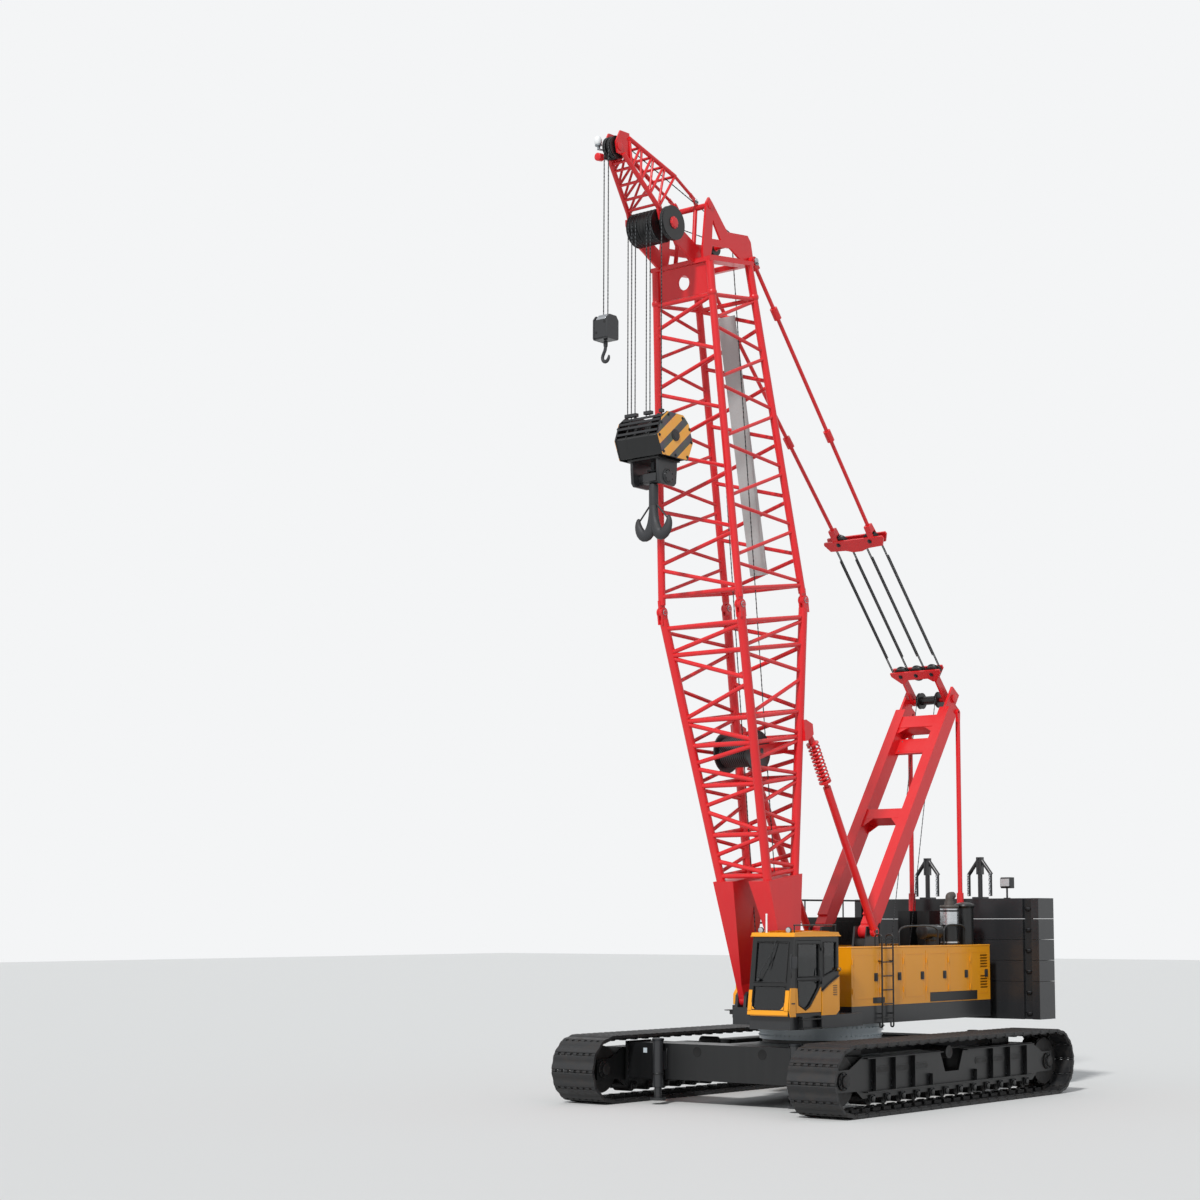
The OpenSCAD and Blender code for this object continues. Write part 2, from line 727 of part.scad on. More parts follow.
module cab_seat() {
    y = cab_in_y + cab_w / 2;
    floor_z = cab_floor_z + cab_wall + eps;
    color("#24262a") {
        block([cab_rear_x + 420, y - 220, floor_z], [cab_rear_x + 900, y + 220, floor_z + 330]);
        block([cab_rear_x + 360, y - 250, floor_z + 329], [cab_rear_x + 940, y + 250, floor_z + 470]);
        block([cab_rear_x + 300, y - 240, floor_z + 329], [cab_rear_x + 440, y + 240, floor_z + 1080]);
        for (s = [-1, 1])
            block([cab_rear_x + 500, y + s * 320 - 60, floor_z], [cab_rear_x + 1000, y + s * 320 + 60, floor_z + 560]);
    }
}

door_play = 8;
module cab_door() {
    color(dark) difference() {
        block([door_rear_x + door_play, cab_out_y - cab_wall, door_low_z + door_play],
            [door_front_x - door_play, cab_out_y, door_high_z - door_play]);
        for (w = [door_low_window, door_high_window])
            side_plate(w, cab_wall + 20, cab_out_y - cab_wall / 2);
    }
    color(dark) for (z = hinge_zs) difference() {
        union() {
            block([hinge_at[0], cab_out_y - 5, z + 60 + eps], [door_rear_x + 50, cab_out_y + 20, z + 120]);
            translate([hinge_at[0], hinge_at[1], z + 60 + eps]) cylinder(h = 60 - eps, r = 14);
        }
        translate([hinge_at[0], hinge_at[1], z]) cylinder(h = 140, r = 7 + pin_play);
        // clear of the shell's wall
        block([hinge_at[0] - 20, cab_out_y - 10, z], [door_rear_x + door_play, cab_out_y + 5, z + 130]);
    }
}

module door_glass() {
    color("#22262a") for (w = [door_low_window, door_high_window])
        side_pane(w, cab_out_y - cab_wall / 2);
}

module ladder() {
    // ladder on the side of the near housing, with its two hoops
    x0 = -420;
    w = 420;
    y = body_half_w + 90;
    color(dark) {
        for (x = [x0, x0 + w]) {
            tube([x, y, deck_z + 60], [x, y, house_top_z + 120], 18);
            for (z = [deck_z + 200, house_top_z - 300])
                tube([x, body_half_w + eps, z], [x, y, z], 14);
        }
        for (i = [0 : 5]) tube([x0, y, deck_z + 110 + i * 290], [x0 + w, y, deck_z + 110 + i * 290], 13);
    }
}

module rail(points, r) {
    for (i = [0 : len(points) - 2]) tube(points[i], points[i + 1], r);
    for (p = points) translate(p) sphere(r = r);
}

module handrails() {
    // along the far housing's roof and round the cab's roof
    z0 = house_top_z + eps;
    z1 = z0 + 1000;
    color(dark) {
        for (y = [-body_half_w + 40]) {
            for (x = [house_rear_x + 60, -3000, -1500, 0, 800]) tube([x, y, z0], [x, y, z1], 17);
            for (z = [z0 + 500, z1]) tube([house_rear_x + 34, y, z], [826, y, z], 21);
        }
        for (p = [[cab_rear_x + 60, 0.82], [cab_front_x - cab_lean - 60, 0.795]])
            tube([p[0], cab_out_y - 30, cab_top_z + roof_t * p[1]], [p[0], cab_out_y - 30, cab_top_z + 230], 12);
        tube([cab_rear_x + 40, cab_out_y - 30, cab_top_z + 230],
            [cab_front_x - cab_lean - 40, cab_out_y - 30, cab_top_z + 230], 14);
    }
}

// Winch drums: place along X, place along Z, barrel radius
drum_rows = [[-300, 2480, 260], [-1650, 2480, 260], [-2750, 2480, 230]];
drum_half_w = 370;

module drum(row) {
    flange = row[2] + 130;
    color(steel) translate([row[0], 0, row[1]]) rotate([90, 0, 0]) {
        cylinder(h = 2 * drum_half_w, r = row[2], center = true);
        for (s = [-1, 1]) translate([0, 0, s * drum_half_w]) cylinder(h = 40, r = flange, center = true);
        cylinder(h = 2 * drum_half_w + 180, r = 60 - pin_play, center = true);
    }
}

module boom_drum() {
    color(dark) on_boom() translate([base_drum_f, 0, base_drum_s]) rotate([90, 0, 0]) {
        cylinder(h = 760, r = base_drum_r - 130, center = true);
        for (s = [-1, 1]) translate([0, 0, s * 400]) cylinder(h = 40, r = base_drum_r, center = true);
        cylinder(h = 1030, r = 60 - pin_play, center = true);
    }
}

// Gantry mast

module mast_leg_shape() {
    translate([-mast_leg_d / 2, mast_half_w - mast_leg_w / 2, 330])
        cube([mast_leg_d, mast_leg_w, mast_len - 700]);
    translate([-130, mast_half_w - mast_leg_w / 2, 120]) cube([260, mast_leg_w, 260]);
    cross_bar(0, 0, 150, mast_leg_w, mast_half_w);
    translate([-110, mast_half_w - mast_leg_w / 2, 0]) cube([220, mast_leg_w, 200]);
}

module mast() {
    cross = 2 * mast_half_w - mast_leg_w + 4;
    color(red) difference() {
        along(mast_foot, -mast_lean) {
            both_sides() mast_leg_shape();
            // head box with its slot, and the tie half way up
            translate([-mast_leg_d / 2 + 30, -cross / 2, mast_len - 900])
                cube([mast_leg_d - 60, cross, 330]);
            translate([-mast_leg_d / 2 + 60, -cross / 2, mast_len - 1500])
                cube([60, cross, 420]);
            translate([-mast_leg_d / 2 + 40, -cross / 2, 2950]) cube([mast_leg_d - 80, cross, 260]);
            // head cheeks
            both_sides() translate([-150, mast_half_w - 30, mast_len - 420]) cube([330, 60, 640]);
            // brackets of the mast links
            both_sides() translate([-360, mast_half_w - 30, mast_len - 260]) cube([220, 60, 200]);
            cross_bar(0, mast_len, 60, 2 * mast_half_w + 60);
        }
        both_sides() cross_bar(link_x, link_pin_z, 35, 150, mast_half_w + 45);
        both_sides() cross_bar(mast_foot[0], mast_foot[1], 60 + pin_play, mast_leg_w + 20, mast_half_w);
    }
}

module mast_links() {
    y = link_y + 95;
    top = mast_axle[1] - 460;
    color(red) both_sides() {
        tube([link_x, y, link_knee_z], [link_x, y, top], link_r);
        // upper eye beside the bracket on the mast head
        difference() {
            side_plate([
                [link_x - 50, top - 40], [link_x + 50, top - 40], [link_x + 60, link_pin_z],
                [link_x, link_pin_z + 70], [link_x - 60, link_pin_z]], 60, mast_half_w + 30 + eps + 30);
            cross_bar(link_x, link_pin_z, 35 + pin_play, 100, y);
        }
        tube([link_x, y, link_foot_z + 76], [link_x, y, link_knee_z + 10], link_r + 25);
        difference() {
            cross_bar(link_x, link_foot_z, 92, 100, link_y + 30 + eps + 50);
            cross_bar(link_x, link_foot_z, 35 + pin_play, 140, y);
        }
    }
}

// A harp's two plates, with the sheaves' axles between them. The sheaves turn about X.
module harp_plates(outline, axle_ys) {
    for (s = [-1, 1])
        translate([s * (harp_gap + harp_plate_t) / 2 - harp_plate_t / 2, 0, 0])
            rotate([90, 0, 90]) linear_extrude(harp_plate_t) polygon(outline);
    for (y = axle_ys)
        translate([-harp_gap / 2 - harp_plate_t, y, 0]) rotate([0, 90, 0])
            cylinder(h = harp_gap + 2 * harp_plate_t, r = 40);
}

module mast_harp() {
    leg_y = mast_half_w - 160;
    color(red) along(mast_axle, stay_ang) difference() {
        union() {
            translate([0, 0, harp_reach]) harp_plates([
                [-harp_pitch - 250, 110], [-harp_pitch - 250, 20], [-leg_y - 40, -200],
                [-leg_y + 60, -200], [-leg_y + 160, -110], [leg_y - 160, -110], [leg_y - 60, -200],
                [leg_y + 40, -200], [harp_pitch + 250, 20], [harp_pitch + 250, 110]
            ], [-harp_pitch, 0, harp_pitch]);
            // yoke down to the mast head axle
            both_sides() side_plate([
                [-110, 0], [-80, -80], [0, -110], [80, -80], [110, 0],
                [95, harp_reach - 120], [fork_x, harp_reach - 120],
                [fork_x, harp_reach - harp_sheave_r - 20], [-fork_x, harp_reach - harp_sheave_r - 20],
                [-fork_x, harp_reach - 120], [-95, harp_reach - 120]
            ], 50, leg_y);
        }
        cross_bar(0, 0, 60 + pin_play, 2 * mast_half_w);
    }
}

module harp_wheels(place, ys) {
    color(dark) along(place, stay_ang) for (y = ys) translate([0, y, 0]) rotate([0, 90, 0])
        sheave(harp_sheave_r, harp_gap - 2 * run_gap, 25, 40 + pin_play);
}

module mast_sheaves() {
    // rope guide drum on the mast head axle
    color(dark) difference() {
        translate([mast_axle[0], 0, mast_axle[1]]) rotate([90, 0, 0]) {
            for (y = [-250, 250]) translate([0, 0, y]) sheave(mast_sheave_d / 2, 70, 30, 61);
            cylinder(h = 480, r = 100, center = true);
        }
        cross_bar(mast_axle[0], mast_axle[1], 60 + pin_play, 2 * mast_half_w);
    }
}

// Boom

module brace(s1, side1, face1, s2, side2, face2, r) {
    tube(chord_point(s1, side1, face1), chord_point(s2, side2, face2), r);
}

// Stations along a lattice where its zigzag turns
base_turns = [2650, 3030, 3510, 4070, 4550, 4970, 5390, 5910, 6650, 7290, 7850];
base_rings = [2650, 3510, 4550, 5390, 5910, 7290, 7850];
top_start = boom_joint_s + 320;
top_turns = [for (i = [0 : top_bays]) top_start + i * (stations[2][S_POS] - top_start) / top_bays];
turn_gap = 55;      // keeps the ends of two diagonals apart on the main tube
side_gap = 22;      // and those of the side faces a little further

module zigzag(turns, r) {
    for (i = [0 : len(turns) - 2]) {
        a = turns[i] + turn_gap;
        b = turns[i + 1] - turn_gap;
        s = i % 2 == 0 ? 1 : -1;
        for (face = [-1, 1]) brace(a, s * face, face, b, -s * face, face, r);
        for (side = [-1, 1]) brace(a + side_gap, side, -s * side, b - side_gap, side, s * side, r - 5);
    }
}

module ring(s, r) {
    for (face = [-1, 1]) brace(s, -1, face, s, 1, face, r);
    for (side = [-1, 1]) brace(s, side, -1, s, side, 1, r - 4);
}

module boom_legs() {
    half = stations[0];
    d = half[S_DEPTH] / 2 + base_chord_d / 2 + 25;
    w = half[S_WIDTH] / 2 + base_chord_d / 2 + 25;
    both_sides() difference() {
        union() {
            intersection() {
                side_plate([[-130, 0], [130, 0], [d, leg_top_s], [-d, leg_top_s]], 3000, 0);
                rotate([90, 0, 90]) linear_extrude(3000, center = true)
                    polygon([
                        [foot_y - foot_boss_w / 2, -1], [foot_y + foot_boss_w / 2, -1],
                        [foot_y + foot_boss_w / 2, 330], [w, leg_top_s + 1],
                        [w - 520, leg_top_s + 1], [foot_y - foot_boss_w / 2, 330]]);
            }
            cross_bar(0, 0, foot_boss_r, foot_boss_w, foot_y);
        }
        cross_bar(0, 0, foot_pin_d / 2 + pin_play, foot_boss_w + 20, foot_y);
    }
}

// Pinned joint of the two sections at each main tube: a fork below, a lug above
joint_pin_r = 45;
fork_t = 36;
lug_half_t = 28;
module joint_plate(side, face, y, t, half_w, boss_r, dir) {
    c = chord_point(boom_joint_s, side, face);
    side_plate([
        [c[0] - half_w, c[2]], [c[0] + half_w, c[2]],
        [c[0] + half_w, c[2] + dir * 250], [c[0] - half_w, c[2] + dir * 250]
    ], t, c[1] + y);
    cross_bar(c[0], c[2], boss_r, t, c[1] + y);
}

module boom_base() {
    joint = boom_joint_s - 150;
    color(red) on_boom() {
        boom_legs();
        for (side = [-1, 1]) for (face = [-1, 1]) {
            brace(leg_top_s - 60, side, face, joint, side, face, base_chord_d / 2);
            for (k = [-1, 1])
                joint_plate(side, face, k * (lug_half_t + 2 + fork_t / 2), fork_t, 88, 104, -1);
            c = chord_point(boom_joint_s, side, face);
            cross_bar(c[0], c[2], joint_pin_r, 180, c[1]);
        }
        zigzag(base_turns, brace_d / 2 + 4);
        for (s = base_rings) ring(s, brace_d / 2 + 8);
        // lugs of the backstops
        rear = -station_at(backstop_s)[S_DEPTH] / 2;
        both_sides() {
            block([rear - 100, 740, backstop_s - 220], [rear, stop_y + 90, backstop_s + 220]);
            for (k = [-1, 1]) side_plate([
                [rear - 90, backstop_s - 220], [rear - 90, backstop_s + 220],
                [rear - 310, backstop_s + 110], [rear - 310, backstop_s - 110]
            ], 30, stop_y + k * 75);
        }
        // bearings of the drum in the base section
        both_sides() difference() {
            side_plate([
                [-station_at(base_drum_s)[S_DEPTH] / 2, base_drum_s - 120],
                [base_drum_f + 110, base_drum_s - 120], [base_drum_f + 110, base_drum_s + 120],
                [-station_at(base_drum_s)[S_DEPTH] / 2, base_drum_s + 120]
            ], 30, 500);
            cross_bar(base_drum_f, base_drum_s, 60, 100, 500);
        }
        for (s = [-1, 1]) block([-station_at(base_drum_s)[S_DEPTH] / 2 - 40, -700, base_drum_s + s * 90 - 30],
            [-station_at(base_drum_s)[S_DEPTH] / 2 + 40, 700, base_drum_s + s * 90 + 30]);
    }
}

module boom_top() {
    joint = boom_joint_s + 150;
    color(red) on_boom() {
        for (side = [-1, 1]) for (face = [-1, 1]) {
            brace(joint, side, face, stations[2][S_POS], side, face, top_chord_d / 2);
            difference() {
                brace(stations[2][S_POS], side, face, head_s + 20, side, face, top_chord_d / 2 + 8);
                block([-1500, -1500, head_s], [1500, 1500, head_s + 100]);
            }
            translate(chord_point(stations[2][S_POS], side, face)) sphere(r = top_chord_d / 2 + 24);
            difference() {
                joint_plate(side, face, 0, 2 * lug_half_t, 80, 96, 1);
                c = chord_point(boom_joint_s, side, face);
                cross_bar(c[0], c[2], joint_pin_r + pin_play, 200, c[1]);
            }
        }
        zigzag(top_turns, brace_d / 2);
        ring(top_start, brace_d / 2 + 6);
        ring(stations[2][S_POS] - 40, brace_d / 2 + 6);
        // front plate with its round hole, below the head
        difference() {
            translate([stations[3][S_DEPTH] / 2 - 30, -stations[3][S_WIDTH] / 2, stations[2][S_POS] + 20])
                cube([50, stations[3][S_WIDTH], 625]);
            translate([stations[3][S_DEPTH] / 2 - 60, 0, stations[2][S_POS] + 320])
                rotate([0, 90, 0]) cylinder(h = 100, r = 150);
        }
    }
}

module boom_walkway() {
    f = -station_at(top_start)[S_DEPTH] / 2;
    color("#8d8f92") on_boom() difference() {
        hull() for (i = [0, 1]) {
            s = [top_start + 300, stations[2][S_POS] - 300][i];
            translate([-station_at(s)[S_DEPTH] / 2 + brace_d / 2 + 1.2, -220, s]) cube([30, 440, 10]);
        }
    }
}

head_plate_y = 560;
jib_link_y = 250;
jib_pin = [sheave_f + 105, sheave_s + 150];
jib_foot_ys = [-500, 285];
link_end = [400, peak_s - 110];
sheave_arm_ys = [-560, 350];   // arms that carry the hoist sheaves
sheave_mid_y = -110;           // middle of the row of sheaves
outer_disc_y = 470;            // sheave outside the arm

module boom_head() {
    half_d = stations[3][S_DEPTH] / 2;
    half_w = stations[3][S_WIDTH] / 2;
    top_f = 320;
    color(red) on_boom() {
        both_sides() {
            // side frame with its two openings
            difference() {
                side_plate([
                    [-half_d - 40, head_s], [half_d + 50, head_s], [half_d + 20, head_s + 300],
                    [top_f + 110, peak_s - 200], [top_f + 10, peak_s - 90], [top_f - 90, peak_s - 200],
                    [-190, head_s + 690], [arm_f + 60, arm_s + 40], [arm_f - 30, arm_s - 90],
                    [pendant_f - 110, pendant_s + 80], [pendant_f - 110, pendant_s - 60]
                ], 50, head_plate_y);
                side_plate([[-540, head_s + 170], [440, head_s + 170], [360, head_s + 360],
                    [-250, head_s + 360]], 60, head_plate_y);
                side_plate([[60, head_s + 500], [360, head_s + 500], [270, head_s + 900]], 60, head_plate_y);
            }
            // root on the main tubes
            block([-half_d - 78, head_plate_y - 60, head_s + eps], [half_d + 78, half_w + 78, head_s + 90]);
        }
        // arms out to the hoist sheaves
        for (y = sheave_arm_ys) side_plate([
            [half_d - 200, head_s + 1], [half_d + 40, head_s + 1],
            [sheave_f + 110, sheave_s - 110], [sheave_f + 190, sheave_s + 120],
            [sheave_f + 180, sheave_s + 240], [sheave_f + 20, sheave_s + 240],
            [half_d - 120, head_s + 330]
        ], 50, y);
        for (f = [-half_d, half_d])
            block([f - 78, -head_plate_y, head_s + eps], [f + 78, head_plate_y, head_s + 90]);
        cross_bar(top_f, peak_s - 250, 60, 2 * head_plate_y);
        // lugs of the jib's links, pins of its feet
        both_sides() difference() {
            side_plate([
                [top_f - 60, peak_s - 250], [top_f + 60, peak_s - 250],
                [link_end[0] + 50, link_end[1]], [link_end[0], link_end[1] + 50],
                [link_end[0] - 50, link_end[1]]], 30, jib_link_y);
            cross_bar(link_end[0], link_end[1], 20 + pin_play, 40, jib_link_y);
        }
        for (k = [0, 1])
            translate([0, (sheave_arm_ys[k] + jib_foot_ys[k]) / 2, 0])
                cross_bar(jib_pin[0], jib_pin[1], 36, abs(sheave_arm_ys[k] - jib_foot_ys[k]) + 80);
        cross_bar(arm_f + 60, arm_s - 60, 45, 2 * head_plate_y);
        for (s = [-1, 1])
            tube([half_d - 60, s * 230, head_s + 60], [top_f, s * 200, peak_s - 250], 45);
        // pins of the pendants, axle of the hoist sheaves
        cross_bar(pendant_f, pendant_s, 50, 2 * pendant_y + 130);
        translate([sheave_f, outer_disc_y + 60, sheave_s]) rotate([90, 0, 0])
            cylinder(h = outer_disc_y + 60 + head_plate_y + 60, r = 70);
    }
}

sheave_w = 96;
module head_sheaves() {
    color(dark) on_boom() difference() {
        union() {
            translate([sheave_f, sheave_mid_y, sheave_s]) rotate([90, 0, 0]) {
                for (i = [0 : head_sheave_count - 1])
                    translate([0, 0, (i - (head_sheave_count - 1) / 2) * sheave_w])
                        sheave(head_sheave_r, sheave_w + 1, 40, 40);
                cylinder(h = 730, r = 100, center = true);
            }
            translate([sheave_f, outer_disc_y, sheave_s]) rotate([90, 0, 0])
                sheave(head_sheave_r, 90, 30, 40);
        }
        cross_bar(sheave_f, sheave_s, 70 + pin_play, 3000);
    }
}

module tip_jib() {
    root = jib_pin + [45, 175];
    top = [1040, peak_s + 300];
    tip = [tip_f - 60, tip_s];
    r = 38;
    bays = 4;
    low_y = [jib_foot_ys, [-190, 190]];
    top_y = [[-300, 300], [-170, 170]];
    function mix(a, b, t) = a + (b - a) * t;
    function low(t, k) = [mix(root[0], tip[0], t), mix(low_y[0][k], low_y[1][k], t),
        mix(root[1], tip[1] - 140, t)];
    function high(t, k) = [mix(top[0], tip[0] - 240, t), mix(top_y[0][k], top_y[1][k], t),
        mix(top[1], tip[1] + 200, t)];
    color(red) on_boom() {
        for (k = [0, 1]) {
            tube(low(0, k), low(1, k), r + 12);
            tube(high(0, k), high(1, k), r + 8);
            for (i = [0 : bays - 1]) {
                tube(low((i + 0.08) / bays, k), high((i + 0.92) / bays, k), r - 12);
                tube(high((i + 0.03) / bays, k), low((i + 0.03) / bays, k), r - 10);
            }
            // link back to the boom head, with a flat eye
            y = (2 * k - 1) * (jib_link_y + 15 + eps + 12);
            tube(high(0, k), [link_end[0] + 110, y, link_end[1] + 72], r - 6);
            side_plate([
                [link_end[0] - 50, link_end[1] - 10], [link_end[0] + 10, link_end[1] - 50],
                [link_end[0] + 190, link_end[1] + 60], [link_end[0] + 130, link_end[1] + 140]
            ], 24, y);
            cross_bar(link_end[0], link_end[1], 20, 66, (2 * k - 1) * (jib_link_y + 3));
            // foot beside the sheave arm
            difference() {
                side_plate([
                    jib_pin + [-80, -55], jib_pin + [60, -55],
                    jib_pin + [115, 240], jib_pin + [-10, 240]], 50, jib_foot_ys[k]);
                cross_bar(jib_pin[0], jib_pin[1], 36 + pin_play, 60, jib_foot_ys[k]);
            }
        }
        for (i = [0 : bays]) {
            t = min((i + 0.03) / bays, 0.97);
            tube(low(min(max(t, 0.07), 0.88), 0), low(min(max(t, 0.07), 0.88), 1), r - 8);
            tube(high(t, 0), high(t, 1), r - 8);
        }
        // cheeks of the tip sheaves
        both_sides() side_plate([
            [tip_f - 330, tip_s - 220], [tip_f + 90, tip_s - 130], [tip_f + 110, tip_s + 90],
            [tip_f - 60, tip_s + 330], [tip_f - 330, tip_s + 300]], 36, 150);
        cross_bar(tip_f, tip_s, 50, 340);
    }
}

module tip_sheaves() {
    color(dark) on_boom() translate([tip_f, 0, tip_s]) rotate([90, 0, 0]) difference() {
        union() {
            for (y = [-55, 55]) translate([0, 0, y]) sheave(tip_sheave_r, 90, 35, 40);
            cylinder(h = 240, r = 80, center = true);
        }
        cylinder(h = 500, r = 50 + pin_play, center = true);
    }
}

// Stays

module pendants() {
    far = pendant_len - 360;
    knuckles = [1250, 4300];
    function bar_y(d) = pendant_y - (pendant_y - harp_y) * d / far;
    color(red) both_sides() difference() {
        union() {
            along(pendant_top, stay_ang) {
                tube([0, harp_y, -far], [0, bar_y(120), -120], pendant_r);
                for (d = knuckles)
                    tube([0, bar_y(d + 130), -d - 130], [0, bar_y(d - 130), -d + 130], pendant_r + 40);
                block([-60, pendant_y - 55, -200], [60, pendant_y + 55, 0]);
            }
            cross_bar(pendant_top[0], pendant_top[1], 100, 90, pendant_y);
        }
        cross_bar(pendant_top[0], pendant_top[1], 50 + pin_play, 2000);
    }
}

module pendant_harp() {
    color(red) along(harp_p, stay_ang) {
        harp_plates([
            [-780, 90], [-800, 30], [-700, -150], [-300, -170], [-120, -230], [120, -230],
            [300, -170], [700, -150], [800, 30], [780, 90]
        ], [-harp_pitch, harp_pitch]);
        lug_top = 360 - eps - pendant_r * (pendant_y - harp_y) / (pendant_len - 360);
        both_sides() side_plate([
            [-90, 70], [-fork_x, 70], [-fork_x, harp_sheave_r + 10], [fork_x, harp_sheave_r + 10],
            [fork_x, 70], [90, 70], [70, lug_top], [-70, lug_top]], 150, harp_y);
    }
}

// Falls of the luffing rope, beside the harps' sheaves. The two harps' bundles are
// out of line across the crane, so they pass each other as the boom is lowered.
module falls(place, shift, row, direction) {
    inner = harp_pitch / 2 - 14 + 28 * shift;
    outer = 1.5 * harp_pitch - 13 + 28 * shift;
    color(steel) along(place, stay_ang) for (y = [-outer, -inner, inner, outer])
        translate([row * 20, y, direction < 0 ? -bundle_len : 0])
            cylinder(h = bundle_len, r = stay_rope_r);
}

// Backstops

module backstop_tubes() {
    color(red) both_sides() difference() {
        along(stop_foot, stop_lean) {
            difference() {
                union() {
                    translate([0, stop_y, 60]) cylinder(h = stop_tube_len - 60, r = stop_tube_r);
                    cross_bar(0, 0, 110, 90, stop_y);
                }
                translate([0, stop_y, 300]) cylinder(h = stop_tube_len, r = stop_rod_r + run_gap);
            }
        }
        cross_bar(stop_foot[0], stop_foot[1], 40 + pin_play, 400, stop_y);
    }
}

spring_turn = [[96, 4], [128, 20], [138, 44], [128, 68], [96, 84]] / 88;
spring_pitch = (stop_len - 458 - stop_tube_len) / 10;

module backstop_rods() {
    color(red) both_sides() along(stop_foot, stop_lean) {
        // rod with its buffer spring, whose turns stand round it above the tube's end
        translate([0, stop_y, 0]) rotate_extrude() polygon(concat(
            [[0, 1150], [stop_rod_r, 1150], [stop_rod_r, stop_tube_len + 110]],
            [for (i = [0 : 9], p = spring_turn)
                [p[0] * 88, stop_tube_len + 110 + (i + p[1]) * spring_pitch]],
            [[stop_rod_r, stop_len - 348], [stop_rod_r, stop_len - 60], [0, stop_len - 60]]));
        cross_bar(0, stop_len, 80, 108, stop_y);
    }
}

// Hooks

fall_ys = concat([for (i = [-3, -2, -1, 2, 3]) sheave_mid_y + i * sheave_w], [outer_disc_y]);

module main_falls() {
    color(steel) for (y = fall_ys) translate([falls_x, y, block_top_z - 60])
        cylinder(h = main_drop + 60, r = rope_d / 2);
}

block_half_y = 560;
module main_block() {
    z = block_top_z;
    color(dark) {
        // sheave housing, its side plates and the crosshead below
        difference() {
            side_plate([
                [block_x - 420, z - 150], [block_x - 250, z], [block_x + 250, z], [block_x + 430, z - 150],
                [block_x + 560, z - 520], [block_x + 400, z - 900], [block_x - 400, z - 900],
                [block_x - 560, z - 520]], 2 * block_half_y, 0);
            for (y = fall_ys) translate([falls_x, y, z - 70]) cylinder(h = 90, r = rope_d / 2 + run_gap);
        }
        both_sides() side_plate([
            [block_x - 300, z - 899], [block_x + 300, z - 899], [block_x + 260, z - 1420],
            [block_x - 260, z - 1420]], 70, 330);
        difference() {
            cross_bar(block_x, z - 1250, 120, 640);
            translate([block_x, 0, z - 1400]) cylinder(h = 300, r = 60 + pin_play);
        }
    }
}

hook_z = block_top_z - 1250;
module main_hook() {
    // shank and the two-sided hook, in the YZ plane
    color(dark) {
        translate([block_x, 0, hook_z - 520]) cylinder(h = 400 - eps, r = 95);
        translate([block_x, 0, hook_z - 130]) cylinder(h = 300, r = 60);
        translate([block_x, 0, hook_z + 120 + eps]) cylinder(h = 75, r = 105, $fn = 6);
        translate([block_x, 0, hook_z - 1010]) rotate([90, 0, 90])
            linear_extrude(170, center = true)
                polygon([
                    [-110, 560], [-90, 300], [-200, 60], [-330, 60], [-330, 200], [-400, 240],
                    [-470, 60], [-400, -150], [-200, -290], [0, -320],
                    [200, -290], [400, -150], [470, 60], [400, 240],
                    [330, 200], [330, 60], [200, 60], [90, 300], [110, 560]]);
    }
}

module aux_fall() {
    color(steel) for (y = [-55, 55]) translate([aux_x, y, aux_top_z - 60])
        cylinder(h = aux_drop + 60, r = rope_d / 2);
}

module aux_block() {
    z = aux_top_z;
    color(dark) {
        difference() {
            side_plate([
                [aux_x - 170, z - 90], [aux_x - 110, z], [aux_x + 110, z], [aux_x + 170, z - 90],
                [aux_x + 170, z - 500], [aux_x - 170, z - 500]], 380, 0);
            for (y = [-55, 55]) translate([aux_x, y, z - 70]) cylinder(h = 90, r = rope_d / 2 + run_gap);
        }
    }
}

module aux_hook() {
    z = aux_top_z - 500 - eps;
    color(dark) {
        translate([aux_x, 0, z - 130]) cylinder(h = 130, r = 45);
        translate([aux_x, 0, z - 310]) rotate([90, 0, 90]) linear_extrude(70, center = true)
            polygon([
                [-40, 200], [-45, 90], [-120, 20], [-120, -80], [-50, -150], [50, -150], [120, -80],
                [120, 10], [60, 10], [55, -50], [0, -85], [-55, -50], [-50, 10], [30, 90], [40, 200]]);
    }
}

carbody();
carbody_jacks();
ring_lower();
track_frame(1);  // track_frame_left
track_frame(-1);  // track_frame_right
track(1);  // track_left
track(-1);  // track_right
track_wheels(1);  // track_wheels_left
track_wheels(-1);  // track_wheels_right
slewing_deck();
ring_upper();
engine_house();
machinery_house();
engine_block();
cab_shell();
cab_roof();
cab_trim();
cab_glass();
cab_seat();
cab_door();
door_glass();
counterweight_base();
counterweight_slabs();
weight_lifters();
roof_equipment();
ladder();
handrails();
drum(drum_rows[0]);  // main_drum
drum(drum_rows[1]);  // aux_drum
drum(drum_rows[2]);  // luffing_drum
boom_drum();
mast();
mast_links();
mast_harp();
mast_sheaves();
harp_wheels(harp_m, [-harp_pitch, 0, harp_pitch]);  // mast_harp_wheels
harp_wheels(harp_p, [-harp_pitch, harp_pitch]);  // pendant_harp_wheels
boom_base();
boom_top();
boom_head();
boom_walkway();
tip_jib();
head_sheaves();
tip_sheaves();
pendants();
pendant_harp();
falls(harp_p, 0, -1, -1);  // harp_ropes
falls(harp_p, 0, 1, -1);  // harp_ropes_long
falls(harp_m, 1, -1, 1);  // mast_ropes
falls(harp_m, 1, 1, 1);  // mast_ropes_long
backstop_tubes();
backstop_rods();
main_falls();
main_block();
main_hook();
aux_fall();
aux_block();
aux_hook();
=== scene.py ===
# %% [markdown]
# # A crawler crane, dressed in Blender
# The solids of this crane come from a CAD model. Here each of them gets the finish
# of the real machine, and the small parts that a CAD source leaves out: shoes with
# their hinge knuckles, bolts, rope wound on drums, hinges, latches, lamps and wipers.
# Everything is in metres. +X is the way the boom points, +Y the cab's side, +Z up.

